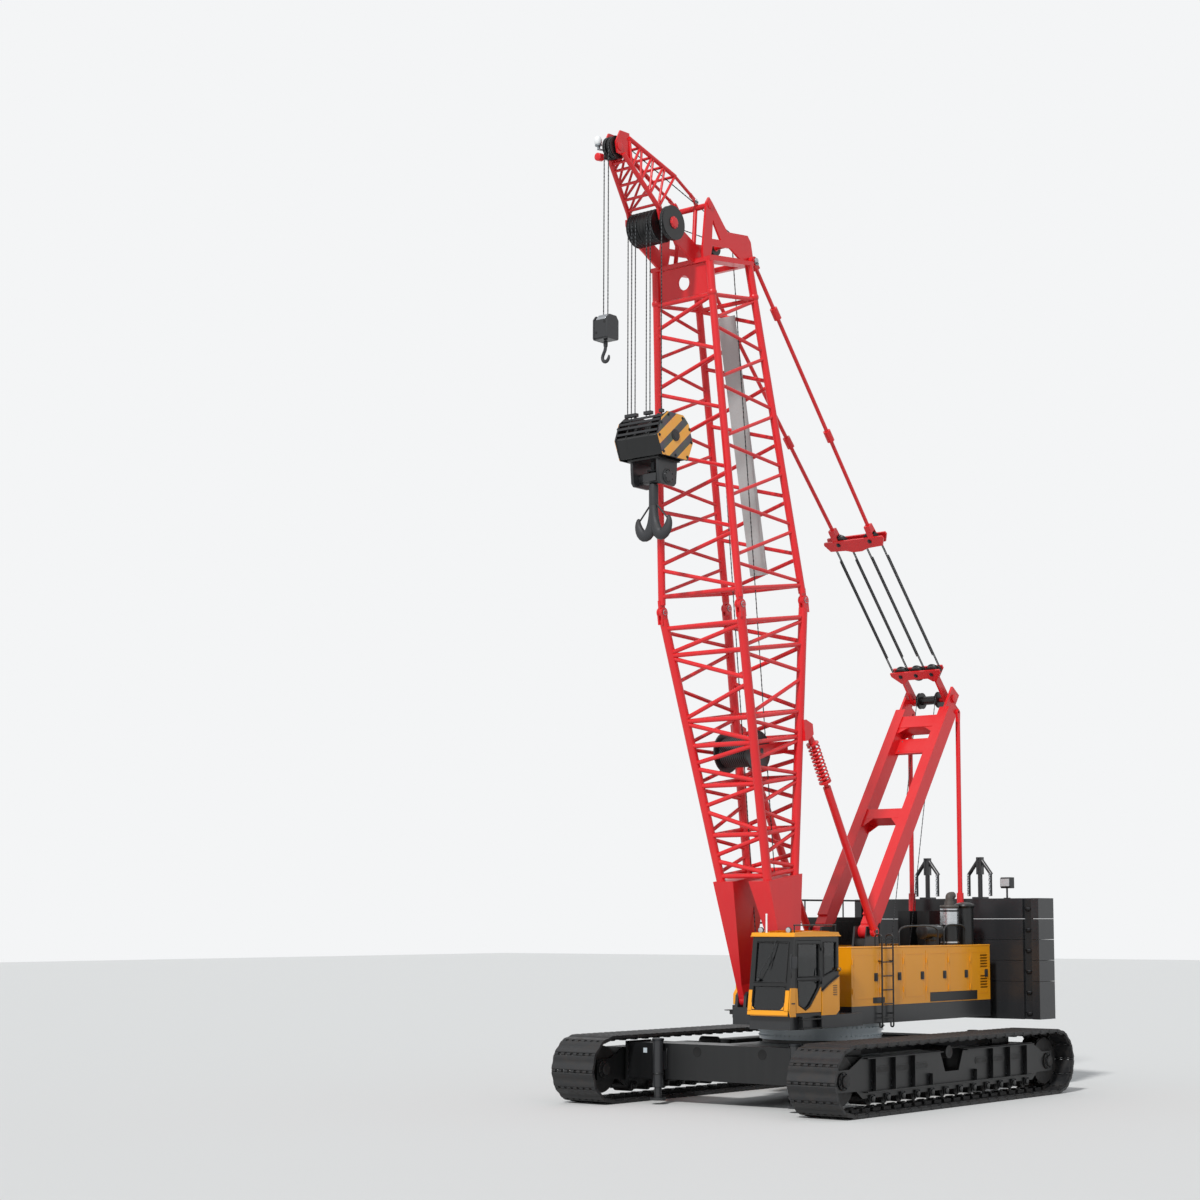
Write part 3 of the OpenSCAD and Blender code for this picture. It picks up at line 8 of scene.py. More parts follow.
import json
import math
from functools import partial
from itertools import product
import bmesh
import bpy
from mathutils import Matrix, Vector


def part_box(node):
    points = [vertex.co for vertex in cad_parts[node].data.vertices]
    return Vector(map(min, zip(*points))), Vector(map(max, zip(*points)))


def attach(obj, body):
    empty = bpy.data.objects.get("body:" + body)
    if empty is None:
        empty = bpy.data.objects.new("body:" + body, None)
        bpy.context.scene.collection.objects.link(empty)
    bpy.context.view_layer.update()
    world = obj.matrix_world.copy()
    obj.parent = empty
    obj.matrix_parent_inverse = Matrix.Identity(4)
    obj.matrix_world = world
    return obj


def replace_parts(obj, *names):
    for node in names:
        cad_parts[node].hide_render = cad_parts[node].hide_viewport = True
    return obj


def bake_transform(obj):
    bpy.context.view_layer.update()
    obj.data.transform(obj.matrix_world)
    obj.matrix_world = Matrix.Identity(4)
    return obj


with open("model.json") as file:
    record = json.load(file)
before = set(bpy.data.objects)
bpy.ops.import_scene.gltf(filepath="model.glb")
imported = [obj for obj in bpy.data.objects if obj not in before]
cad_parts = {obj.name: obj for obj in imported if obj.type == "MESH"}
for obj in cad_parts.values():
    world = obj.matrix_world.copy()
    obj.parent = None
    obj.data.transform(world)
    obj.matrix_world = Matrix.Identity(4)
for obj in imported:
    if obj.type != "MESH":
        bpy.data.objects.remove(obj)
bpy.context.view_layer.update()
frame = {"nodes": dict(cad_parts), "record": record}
nodes = frame["nodes"]

# %% [markdown]
# ## The camera
# The photograph was taken from the ground, about 48 m away, from in front of the
# cab's side. Its lens axis is above the picture's middle. A small lens shift keeps the
# tall boom upright, and the rest of the framing comes from tilting the camera a little.

# %% Camera
scene = bpy.context.scene
camera = bpy.data.objects.new("camera", bpy.data.cameras.new("camera"))
scene.collection.objects.link(camera)
scene.camera = camera
yaw, pitch, roll = (math.radians(a) for a in (37.71897, 6.62928, .10938))
look = Vector((-math.cos(yaw) * math.cos(pitch), -math.sin(yaw) * math.cos(pitch), math.sin(pitch)))
camera.location = (39.44056, 27.81258, 3.76574)
camera.rotation_mode = "QUATERNION"
camera.rotation_quaternion = Matrix.Rotation(roll, 3, look).to_quaternion() @ look.to_track_quat("-Z", "Y")
camera.data.sensor_width = 36
camera.data.lens = 2232.34 * 36 / 1200  # the focal length in pixels, as fitted, over the picture's 1200
camera.data.shift_x, camera.data.shift_y = -.1, .05
camera.data.clip_start, camera.data.clip_end = 1, 500
print("camera lens", round(camera.data.lens, 1), "mm")

# %% [markdown]
# ## Light and floor
# The machine stands in hazy sunshine that comes from in front of it and from high up.
# One large soft sun does that, and a pale sky fills the shadows, so that a
# surface in full light shows its colour about as it is written. The backdrop turns
# white only for the camera, for glass and for metal, and adds no light to the crane.

# %% Light, sky and floor
def linear(hex_colour, shade=1.0):
    """sRGB hex to the linear values that Blender's nodes use, darkened by shade."""
    values = [int(hex_colour[i:i + 2], 16) / 255 for i in (1, 3, 5)]
    return [(v / 12.92 if v <= .04045 else ((v + .055) / 1.055) ** 2.4) * shade for v in values] + [1.0]


def set_inputs(node, inputs):
    """Links the nodes or sockets that it is given, and writes plain values as they are."""
    for name, value in inputs.items():
        if isinstance(value, bpy.types.Node):
            value = value.outputs[2 if value.type == "MIX" else 0]
        if isinstance(value, bpy.types.NodeSocket):
            node.id_data.links.new(value, node.inputs[name])
        else:
            node.inputs[name].default_value = value


def add_node(tree, kind, inputs, **settings):
    """Adds one node, sets what it is told and feeds its inputs."""
    node = tree.nodes.new("ShaderNode" + kind)
    for name, value in settings.items():
        setattr(node, name, value)
    set_inputs(node, inputs)
    return node


scene.view_settings.view_transform = "Standard"
world = bpy.data.worlds.new("pale_sky")
scene.world = world
world.use_nodes = True
sky = world.node_tree
sky.nodes.clear()
rays = add_node(sky, "LightPath", {}).outputs
seen = add_node(sky, "Math", {0: rays["Is Camera Ray"], 1: rays["Is Transmission Ray"]}, operation="MAXIMUM")
seen = add_node(sky, "Math", {0: seen, 1: rays["Is Glossy Ray"]}, operation="MAXIMUM")
fill = add_node(sky, "Background", {"Color": linear("#e9eef4"), "Strength": .55})
backdrop = add_node(sky, "Background", {"Color": linear("#f4f5f6"), "Strength": 1.0})
sky_mix = add_node(sky, "MixShader", {0: seen, 1: fill, 2: backdrop})
add_node(sky, "OutputWorld", {"Surface": sky_mix})

sun = bpy.data.objects.new("sun", bpy.data.lights.new("sun", "SUN"))
scene.collection.objects.link(sun)
sun.data.energy, sun.data.angle = 2.5, math.radians(6)
sun.rotation_mode = "QUATERNION"
sun.rotation_quaternion = Vector((-.74, -.2, -.64)).to_track_quat("-Z", "Y")

floor_mesh = bpy.data.meshes.new("floor")
reach, sunk = 150, -.004
corners = ((-reach, -reach), (reach, -reach), (reach, reach), (-reach, reach))
floor_mesh.from_pydata([(x, y, sunk) for x, y in corners], [], [(0, 1, 2, 3)])
floor = bpy.data.objects.new("floor", floor_mesh)
scene.collection.objects.link(floor)
floor_paint = bpy.data.materials.new("pale_floor")
floor_paint.use_nodes = True
set_inputs(floor_paint.node_tree.nodes["Principled BSDF"], {"Base Color": linear("#dcdcda"), "Roughness": .9})
floor_mesh.materials.append(floor_paint)
print("sun", sun.data.energy, "sky", fill.inputs["Strength"].default_value)

# %% [markdown]
# ## Enamel paint
# The steelwork is sprayed with two-pack enamel, red on the lattice, yellow on the sheet
# housings and dark grey on the castings. Enamel is a pigmented film under a
# glossy skin: IOR 1.5, no metal, roughness about 0.3. Out of doors it gathers a film of
# dust, heavier on faces that look up and near the ground, and rain draws it down in
# faint streaks. Noise in the object's own metres drives all three, so a pattern keeps its real
# size. Orange peel (3 mm) is too fine for this picture, so the bump here is the
# waviness of plate between its welds, which shows at about 0.4 m.

# %% Enamel
def new_finish(name, colour, roughness, metallic=0.0, ior=1.5):
    """A material with one shader. Returns it, a way to add nodes, the shader and the place on the object."""
    material = bpy.data.materials.new(name)
    material.use_nodes = True
    tree = material.node_tree
    tree.nodes.clear()
    optics = {"Metallic": metallic} if metallic else {"IOR": ior}
    shader = add_node(tree, "BsdfPrincipled", {"Base Color": linear(colour), "Roughness": roughness, **optics})
    add_node(tree, "OutputMaterial", {"Surface": shader})
    return material, partial(add_node, tree), shader, add_node(tree, "TexCoord", {}).outputs["Object"]


def enamel(name, colour, dust="#b9a68c", coat=.35, patch=.9, dust_share=.3, ground=0.0, rough=(.28, .5)):
    """Tone, dust and rain streaks over a paint. patch is the size of a cloud of tone, in metres."""
    material, add, shader, place = new_finish(name, colour, .3)
    tone = add("TexNoise", {"Vector": place, "Scale": 1 / patch, "Detail": 5.0, "Roughness": .6})
    stretched = add("Mapping", {"Vector": place, "Scale": (1 / .1, 1 / .1, .9)})
    streaks = add("TexNoise", {"Vector": stretched, "Scale": 1.0, "Detail": 3.0})
    facing = add("SeparateXYZ", {0: add("NewGeometry", {}).outputs["Normal"]})
    up = add("MapRange", {0: facing.outputs["Z"], 1: .2, 2: 1.0, 3: 0.0, 4: .7})
    height = add("SeparateXYZ", {0: place})
    low = add("MapRange", {0: height.outputs["Z"], 1: 0.0, 2: 1.5, 3: ground, 4: 0.0})
    lying = add("Math", {0: up, 1: low}, operation="ADD")
    drawn = add("MapRange", {0: streaks, 1: .45, 2: .75, 3: 0.0, 4: .35})
    amount = add("Math", {0: lying, 1: drawn}, operation="ADD")
    broken = add("Math", {0: amount, 1: tone}, operation="MULTIPLY")
    share = add("Math", {0: broken, 1: dust_share * 2}, operation="MULTIPLY", use_clamp=True)
    base = add("Mix", {0: tone, 6: linear(colour, .86), 7: linear(colour)}, data_type="RGBA")
    waves = add("TexNoise", {"Vector": place, "Scale": 1 / .4, "Detail": 2.0})
    set_inputs(shader, {
        "Coat Weight": coat, "Coat Roughness": .12,
        "Base Color": add("Mix", {0: share, 6: base, 7: linear(dust)}, data_type="RGBA"),
        "Roughness": add("MapRange", {0: share, 1: 0.0, 2: .4, 3: rough[0], 4: rough[1]}),
        "Normal": add("Bump", {"Strength": .25, "Distance": .004, "Height": waves})})
    return material


red_enamel = enamel("red_enamel", "#e01a22", coat=.1, dust_share=.05, rough=(.34, .5))
yellow_enamel = enamel("yellow_enamel", "#f5a108", coat=.15, dust_share=.06, patch=1.6, rough=(.34, .5))
grey_enamel = enamel("dark_grey_enamel", "#2b2c2e", dust="#6a6864", coat=0.0, dust_share=.05, ground=.2)
black_enamel = enamel("black_enamel", "#111213", dust="#66645f", coat=0.0, dust_share=.05, rough=(.36, .55))
# this pale grey is painted lighter than the paint itself, as painted light against the shade under the deck; the
# slewing ring, its bolts and the lifting marks wear it
pale_enamel_painted_light = enamel("pale_grey_enamel_painted_light", "#c6d0d5", dust_share=.08)
# a yellow darkened to brown for the louvres and the cab's vent: painted shade of their slots
louvre_enamel_painted_shade = enamel("louvre_enamel_painted_shade", "#8f5f0c", coat=0.0, dust_share=.05)
print("enamels:", [m.name for m in bpy.data.materials if "enamel" in m.name])

# %% [markdown]
# ## Track steel
# Shoes and rollers are cast manganese steel under a thin black paint that the ground
# rubs off. Cast skin is rough and grainy, and dry earth packs into its corners. A cellular
# pattern of 25 mm lumps (the sand grain of the mould is 0.5 mm and would not show) makes
# the skin. The shoes, which the ground wears, are a shade paler than the rollers.

# %% Track steel, bare steel, galvanised steel, aluminium
def cast_steel(name, colour, earth, earth_share):
    material, add, shader, place = new_finish(name, colour, .6)
    patches = add("TexNoise", {"Vector": place, "Scale": 1 / .16, "Detail": 6.0, "Roughness": .65})
    packed = add("MapRange", {0: patches, 1: .45, 2: .72, 3: 0.0, 4: earth_share})
    grains = add("TexVoronoi", {"Vector": place, "Scale": 1 / .025})
    set_inputs(shader, {
        "Base Color": add("Mix", {0: packed, 6: linear(colour), 7: linear(earth)}, data_type="RGBA"),
        "Normal": add("Bump", {"Strength": .35, "Distance": .003, "Height": grains}),
        "Roughness": add("MapRange", {0: patches, 1: .3, 2: .7, 3: .42, 4: .75})})
    return material


def bare_metal(name, colour, roughness, grain, metallic=1.0, spread=.12):
    """Steel or aluminium, with machining or rolling marks as fine streaks across it."""
    material, add, shader, place = new_finish(name, colour, roughness, metallic)
    drawn = add("Mapping", {"Vector": place, "Scale": (1 / grain, 1 / grain, 4 / grain)})
    marks = add("TexNoise", {"Vector": drawn, "Scale": 1.0, "Detail": 4.0})
    set_inputs(shader, {
        "Roughness": add("MapRange", {0: marks, 1: .3, 2: .7, 3: roughness - spread / 2,
                                      4: roughness + spread}),
        "Base Color": add("Mix", {0: marks, 6: linear(colour, .7), 7: linear(colour)}, data_type="RGBA")})
    return material


track_steel = cast_steel("black_cast_track_steel", "#121213", "#4a4038", .22)
pad_steel = cast_steel("worn_shoe_steel", "#1a1b1d", "#55493f", .2)
hook_steel = cast_steel("forged_hook_steel", "#2b2c2f", "#4d4a46", .25)
bright_steel = bare_metal("machined_steel", "#b9bcc0", .3, .05)
zinc_steel = bare_metal("galvanised_steel", "#9aa0a4", .45, .12)
aluminium = bare_metal("spun_aluminium", "#d5d8db", .25, .08)
bolt_steel = bare_metal("black_oxide_bolt_steel", "#4b4d50", .45, .03)
grating_steel = bare_metal("galvanised_grating", "#c3c5c4", .6, .05, metallic=.35)
print("metals made")

# %% [markdown]
# ## Wire rope
# A hoist rope is six strands laid round a core, greased and galvanised. What shows is the
# slanting lay of its strands, about one diameter of rope from strand to strand. A wave
# across the slant gives that pattern, and a bump gives its valleys. On a 26 mm rope the lay
# would be finer than a pixel, so the bands are drawn about 75 mm apart.

# %% Wire rope, rubber, plastic, glass, fabric
def wire_rope(name, direction):
    material, add, shader, place = new_finish(name, "#4d4f50", .55, metallic=.4)
    turn = Vector(direction).normalized().to_track_quat("Z", "Y").to_euler()
    along = add("VectorRotate", {"Vector": place, "Rotation": turn}, rotation_type="EULER_XYZ", invert=True)
    laid = add("Mapping", {"Vector": along, "Scale": (12, 12, 1 / .06 / 2)})
    bands = add("TexWave", {"Vector": laid, "Scale": 1.0, "Distortion": .4},
                bands_direction="DIAGONAL").outputs["Fac"]
    # the rope is darker in the valleys between its strands, where the same wave sets the bump low: painted shade
    set_inputs(shader, {
        "Base Color": add("Mix", {0: bands, 6: linear("#161617"), 7: linear("#5b5d5f")}, data_type="RGBA"),
        "Normal": add("Bump", {"Strength": .6, "Distance": .004, "Height": bands})})
    return material


def moulded(name, colour, roughness):
    """Moulded rubber or plastic, with the fine grain of its mould."""
    material, add, shader, place = new_finish(name, colour, roughness)
    skin = add("TexNoise", {"Vector": place, "Scale": 1 / .006, "Detail": 3.0})
    faded = add("TexNoise", {"Vector": place, "Scale": 1 / .3, "Detail": 2.0})
    paler = [min(1, c * 1.5 + .004) for c in linear(colour)[:3]] + [1.0]
    set_inputs(shader, {
        "Base Color": add("Mix", {0: faded, 6: linear(colour), 7: paler}, data_type="RGBA"),
        "Normal": add("Bump", {"Strength": .15, "Distance": .001, "Height": skin})})
    return material


rope_wire = wire_rope("galvanised_wire_rope", (0, 0, 1))
stay_wire = wire_rope("galvanised_luffing_rope", (.669, 0, .743))
seal_rubber = moulded("black_seal_rubber", "#0c0c0d", .7)
plug_rubber = moulded("plug_rubber", "#020202", .85)
dark_plastic = moulded("black_moulded_plastic", "#1f2022", .5)
white_plastic = moulded("white_glass_fibre", "#dcdedd", .4)

tinted_glass, add, shader, place = new_finish("tinted_safety_glass", "#3a3f42", .03, ior=1.52)
film = add("TexNoise", {"Vector": place, "Scale": 1 / .35, "Detail": 3.0})
set_inputs(shader, {"Transmission Weight": .88,
                    "Roughness": add("MapRange", {0: film, 1: .4, 2: .8, 3: .02, 4: .1})})

lamp_lens, add, shader, place = new_finish("ribbed_lamp_lens", "#f2f4f5", .08, ior=1.49)
ribs = add("TexWave", {"Vector": place, "Scale": 1 / .012 / 6.283}).outputs["Fac"]
set_inputs(shader, {"Transmission Weight": .5,
                    "Normal": add("Bump", {"Strength": .5, "Distance": .002, "Height": ribs})})

seat_cloth, add, shader, place = new_finish("woven_seat_cloth", "#2a2c30", .85)
weave = add("TexChecker", {"Vector": place, "Scale": 1 / .006, "Color1": linear("#2a2c30"),
                           "Color2": linear("#3b3e43")}).outputs
set_inputs(shader, {"Sheen Weight": .3, "Base Color": weave["Color"],
                    "Normal": add("Bump", {"Strength": .4, "Distance": .001, "Height": weave["Fac"]})})
print("materials in all:", len(bpy.data.materials))

# %% [markdown]
# ## Warning stripes
# The cheeks of the hook block carry slanting bands of yellow and black, so
# that people see the load coming. They rise to the rear, and repeat every 525 mm. They are
# paint, so one shader mixes the two colours by position: across the slant, the fraction of a
# band's pitch tells which colour it is.

# %% Striped paint
stripe_pitch, dark_from, slant = .525, .144, 1.17
striped_paint, add, shader, place = new_finish("warning_stripes", "#f2a41c", .35)
axes = add("SeparateXYZ", {0: place}).outputs
rise = add("Math", {0: axes["Z"], 1: slant}, operation="MULTIPLY")
across = add("Math", {0: axes["X"], 1: rise}, operation="ADD")
wave = add("Math", {0: across, 1: stripe_pitch / 2}, operation="PINGPONG")
edge = add("Math", {0: wave, 1: dark_from}, operation="GREATER_THAN")
dirt = add("TexNoise", {"Vector": place, "Scale": 1 / .2, "Detail": 4.0}).outputs["Color"]
bands = add("Mix", {0: edge, 6: linear("#fbaa10"), 7: linear("#161617")}, data_type="RGBA")
set_inputs(shader, {"Base Color": add("Mix", {0: .12, 6: bands, 7: dirt}, data_type="RGBA")})
print("stripes repeat every", stripe_pitch, "m")

# %% [markdown]
# ## Giving the CAD solids their finish
# Each solid of the CAD model has a slot that names its finish. The slot is looked up
# in a table of the materials above. A few nodes differ from their slot: the cab's frame and
# the ladder are black, and so are the sheaves, the carbody and the track frames.

# %% Materials on the CAD nodes
by_slot = {
    "bare_steel": zinc_steel, "dark_paint": grey_enamel, "glass": tinted_glass, "grating": grating_steel,
    "hook_steel": hook_steel, "red_paint": red_enamel, "rope_steel": rope_wire, "seat_plastic": dark_plastic,
    "track_steel": track_steel, "yellow_paint": yellow_enamel,
}
by_finish = (
    (black_enamel, "cab_shell cab_door ladder head_sheaves tip_sheaves mast_sheaves mast_harp_wheels "
                   "pendant_harp_wheels roof_equipment handrails carbody track_frame_left track_frame_right"),
    # the slewing ring gets the pale grey that is painted lighter, as painted light against the shade under the deck
    (track_steel, "track_wheels_left track_wheels_right"), (pale_enamel_painted_light, "ring_upper ring_lower"),
    (stay_wire, "harp_ropes harp_ropes_long mast_ropes mast_ropes_long"),
    (grey_enamel, "counterweight_slabs counterweight_base"),
)
by_node = {name: finish for finish, names in by_finish for name in names.split()}
slot_of = {part["node"]: part.get("material_slot") for part in frame["record"]["subparts"]}
for name, node in nodes.items():
    finish = by_node.get(name) or by_slot[slot_of[name]]
    if not node.material_slots:
        node.data.materials.append(finish)
    for slot in node.material_slots:
        slot.material = finish
print("dressed nodes:", len(nodes))

# %% [markdown]
# ## How the small parts are made
# One piece of the machine often has dozens of like parts, such as bolts. So a piece
# is gathered in one mesh: blocks, turned bodies, cut plates and swept rods are added to it, in
# a frame that may lean with the boom or the mast, and at the end it gets bevelled edges, its
# material and the CAD body that it moves with.

# %% A maker for small parts
X, Y, Z = Vector((1, 0, 0)), Vector((0, 1, 0)), Vector((0, 0, 1))
both = (-1, 1)  # the two sides of a thing that repeats in mirror image


def circle(count, radius=1.0, shift=0.0):
    """Points (a, b) on a circle, the first one shift steps past its start."""
    angles = [2 * math.pi * (k + shift) / count for k in range(count)]
    return [(radius * math.cos(a), radius * math.sin(a)) for a in angles]


def scaled(section, factor):
    return [(a * factor, b * factor) for a, b in section]


def sheet(a0, b0, a1, b1):
    """The outline of a rectangular plate, from one corner to the other."""
    return [(a0, b0), (a1, b0), (a1, b1), (a0, b1)]


class Piece:
    """One piece of the crane, gathered from simple worked parts. where leads from its frame to the crane's."""

    def __init__(self, where=None):
        self.mesh, self.where = bmesh.new(), where or Matrix()

    def add(self, points, faces):
        corners = [self.mesh.verts.new(self.where @ Vector(p)) for p in points]
        for face in faces:
            self.mesh.faces.new([corners[i] for i in face])

    def block(self, corner, opposite):
        self.add(list(product(*(sorted(pair) for pair in zip(corner, opposite)))),
                 [(0, 1, 3, 2), (4, 6, 7, 5), (0, 4, 5, 1), (2, 3, 7, 6), (0, 2, 6, 4), (1, 5, 7, 3)])

    def loft(self, rings, closed=False):
        """Skins a row of rings of points, and caps its ends unless the row closes on itself."""
        n, m = len(rings), len(rings[0])
        faces = [(i * m + k, i * m + (k + 1) % m, (i + 1) % n * m + (k + 1) % m, (i + 1) % n * m + k)
                 for i in range(n if closed else n - 1) for k in range(m)]
        if not closed:
            faces += [tuple(range(m))[::-1], tuple((n - 1) * m + k for k in range(m))]
        self.add([p for ring in rings for p in ring], faces)

    def turned(self, start, axis, profile, sides=20):
        """A turned part: profile lists distance along the axis and radius."""
        start, axis = Vector(start), Vector(axis).normalized()
        side = axis.orthogonal().normalized()
        other = axis.cross(side)
        self.loft([[start + axis * along + (side * a + other * b) * radius for a, b in circle(sides, 1, .5)]
                   for along, radius in profile])

    def rod(self, start, end, radius, sides=14):
        start, end = Vector(start), Vector(end)
        self.turned(start, end - start, [(0, radius), ((end - start).length, radius)], sides)

    def plate(self, outline, middle, thick, across=X, up=Z):
        """A plate cut to an outline of (across, up) pairs, its thickness centred on middle."""
        middle, across, up = Vector(middle), Vector(across).normalized(), Vector(up).normalized()
        normal = across.cross(up) * (thick / 2)
        points = [middle + across * a + up * b + normal * k for k in both for a, b in outline]
        n = len(outline)
        self.add(points, [tuple(range(n))[::-1], tuple(range(n, 2 * n))]
                 + [(i, (i + 1) % n, n + (i + 1) % n, n + i) for i in range(n)])

    def sweep(self, path, section, twist=0.0, closed=False):
        """Sweeps a ring of (a, b) pairs along a path, turned by twist radians per metre."""
        path, n = [Vector(p) for p in path], len(path)
        heading = [(path[(i + 1) % n if closed else min(i + 1, n - 1)] - path[i - 1 if closed else max(i - 1, 0)])
                   .normalized() for i in range(n)]
        side, far, rings = heading[0].orthogonal().normalized(), 0.0, []
        for i in range(n):
            side = (side - heading[i] * side.dot(heading[i])).normalized()
            other = heading[i].cross(side)
            far += (path[i] - path[i - 1]).length if i else 0
            c, s = math.cos(far * twist), math.sin(far * twist)
            rings.append([path[i] + side * (a * c - b * s) + other * (a * s + b * c) for a, b in section])
        self.loft(rings, closed)

    def bolt(self, at, axis, size=.03):
        """A hexagon head of that width on its washer."""
        self.turned(at, axis, [(-.002, size * .95), (size * .14, size * .95)], 12)
        self.turned(Vector(at) + Vector(axis).normalized() * size * .14, axis,
                    [(-.001, size / 2), (size * .55, size / 2), (size * .65, size * .42)], 6)

    def bolt_ring(self, x, y, z, side, count, radius, size, shift=.5):
        """Bolts on a circle round an axis that runs across the crane."""
        for a, b in circle(count, radius, shift):
            self.bolt((x + a, y, z + b), side * Y, size)

    def done(self, name, finish, body="upperworks", bevel=0.0, smooth=40):
        """Ends the piece: its mesh, edges broken by bevel metres, its material and the body it rides."""
        bmesh.ops.recalc_face_normals(self.mesh, faces=self.mesh.faces)
        piece = new_object(name, self.mesh, finish)
        piece.data.set_sharp_from_angle(angle=math.radians(smooth))
        if bevel:
            edges = piece.modifiers.new("worked_edges", "BEVEL")
            edges.width, edges.segments, edges.limit_method = bevel, 1, "ANGLE"
            edges.angle_limit = math.radians(50)
        if body:
            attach(piece, body)
        return piece


def new_object(name, mesh, finish):
    data = bpy.data.meshes.new(name)
    mesh.to_mesh(data)
    mesh.free()
    data.shade_smooth()
    data.materials.append(finish)
    piece = bpy.data.objects.new(name, data)
    scene.collection.objects.link(piece)
    return piece


def pieces(count, where=None):
    return [Piece(where) for _ in range(count)]


def leaning(x, z, degrees):
    """The frame of a bar that leans by an angle from the vertical, its foot at x, z."""
    return Matrix.Translation((x, 0, z)) @ Matrix.Rotation(math.radians(degrees), 4, "Y")


boom = leaning(1.85, 2.1, 8.3)
mast_lean, mast_length = -34.3, 6.45
mast = leaning(-.9, 3.5, mast_lean)
mast_axle = mast @ Vector((0, 0, mast_length))
print("mast axle", [round(c, 3) for c in mast_axle], "boom head", [round(c, 3) for c in boom @ Vector((0, 0, 15.2))])

# %% [markdown]
# ## Crawler tracks
# A crane's track is a chain of cast shoes. Each shoe is a plate about 1.1 m wide whose long
# edges end in rows of hinge knuckles, and pins as long as the shoe is wide join it to the next.
# The gaps between knuckles are the rows of dark holes that the photograph shows. One shoe is
# described in its own frame, and a loop walks along the track's path and sets down 54 of them.
# The finished loop stands in for the plain CAD loop, and keeps its outline.

# %% Track shoes
track_height, track_length, shoe_count, shoe_width = 1.39, 9.2, 54, 1.12
end_radius = track_height / 2
straight = track_length - track_height
arc = math.pi * end_radius
pitch = 2 * (straight + arc) / shoe_count
sides_of_crane = (("left", 3.0), ("right", -3.0))


def on_loop(s, depth):
    """The point of the track's path at the distance s along it, and that far inside its outer face."""
    s, r, end = s % (2 * (straight + arc)), end_radius - depth, 1
    if s >= straight + arc:
        s, end = s - straight - arc, -1
    if s < straight:
        return Vector((end * (s - straight / 2), 0, end_radius - end * r))
    t = math.pi * (s - straight) / arc
    return Vector((end * (straight / 2 + r * math.sin(t)), 0, end_radius - end * r * math.cos(t)))


def shoe_section(half):
    """Pairs along the track and inward: chamfered edges, a hollow across the shoe's face."""
    return [(-half, .012), (-half + .014, 0), (-.055, 0), (-.045, .008), (.045, .008), (.055, 0),
            (half - .014, 0), (half, .012), (half, .052), (half - .02, .06), (-half + .02, .06),
            (-half, .052)]


for side, y in sides_of_crane:
    (shoes, pins), w = pieces(2), shoe_width / 2
    for i in range(shoe_count):
        front, back = on_loop((i + .91) * pitch, 0), on_loop((i + .09) * pitch, 0)
        middle, ahead, half = (front + back) / 2, (front - back).normalized(), (front - back).length / 2
        inward = Vector((-ahead.z, 0, ahead.x))
        shoes.where = Matrix(((ahead.x, 0, inward.x, middle.x), (0, 1, 0, y), (ahead.z, 0, inward.z, middle.z),
                              (0, 0, 0, 1)))
        shoes.plate(shoe_section(half), (0, 0, 0), shoe_width)
        for s in both:
            shoes.block((-half * .86, s * .105 - .04, .052), (half * .86, s * .105 + .04, .125))
            shoes.block((-half * .8, s * (w - .05) - .02, .05), (half * .8, s * (w - .05) + .02, .088))
        shoes.block((-.05, -.06, .052), (.05, .06, .15))
        joint = on_loop(i * pitch, .036)
        shoes.where = pins.where = Matrix.Translation((joint.x, y, joint.z))
        for k in range(7):
            at = -w + .055 + k * (shoe_width - .11) / 6
            shoes.rod((0, at - .048, 0), (0, at + .048, 0), .035, 10)
        pins.rod((0, -w + .004, 0), (0, w - .004, 0), .017, 8)
    pins.done(f"shoes_{side}_pins", track_steel, "undercarriage")
    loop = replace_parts(shoes.done("shoes_" + side, pad_steel, "undercarriage"), "track_" + side)
    print(loop.name, len(loop.data.polygons), "faces, shoe pitch", round(pitch, 4), "m")

# %% [markdown]
# ## Side frames and rollers
# The side frame is a welded box that carries the rollers on short shafts. Each shaft ends in
# a cap, held in a bearing block that is bolted below the frame's plate. Ribs stiffen the
# plates, and six long pockets in each let earth fall out. Everything repeats along X, so loops
# place it on both plates of both frames. The drive tumbler's teeth stand between the plates.

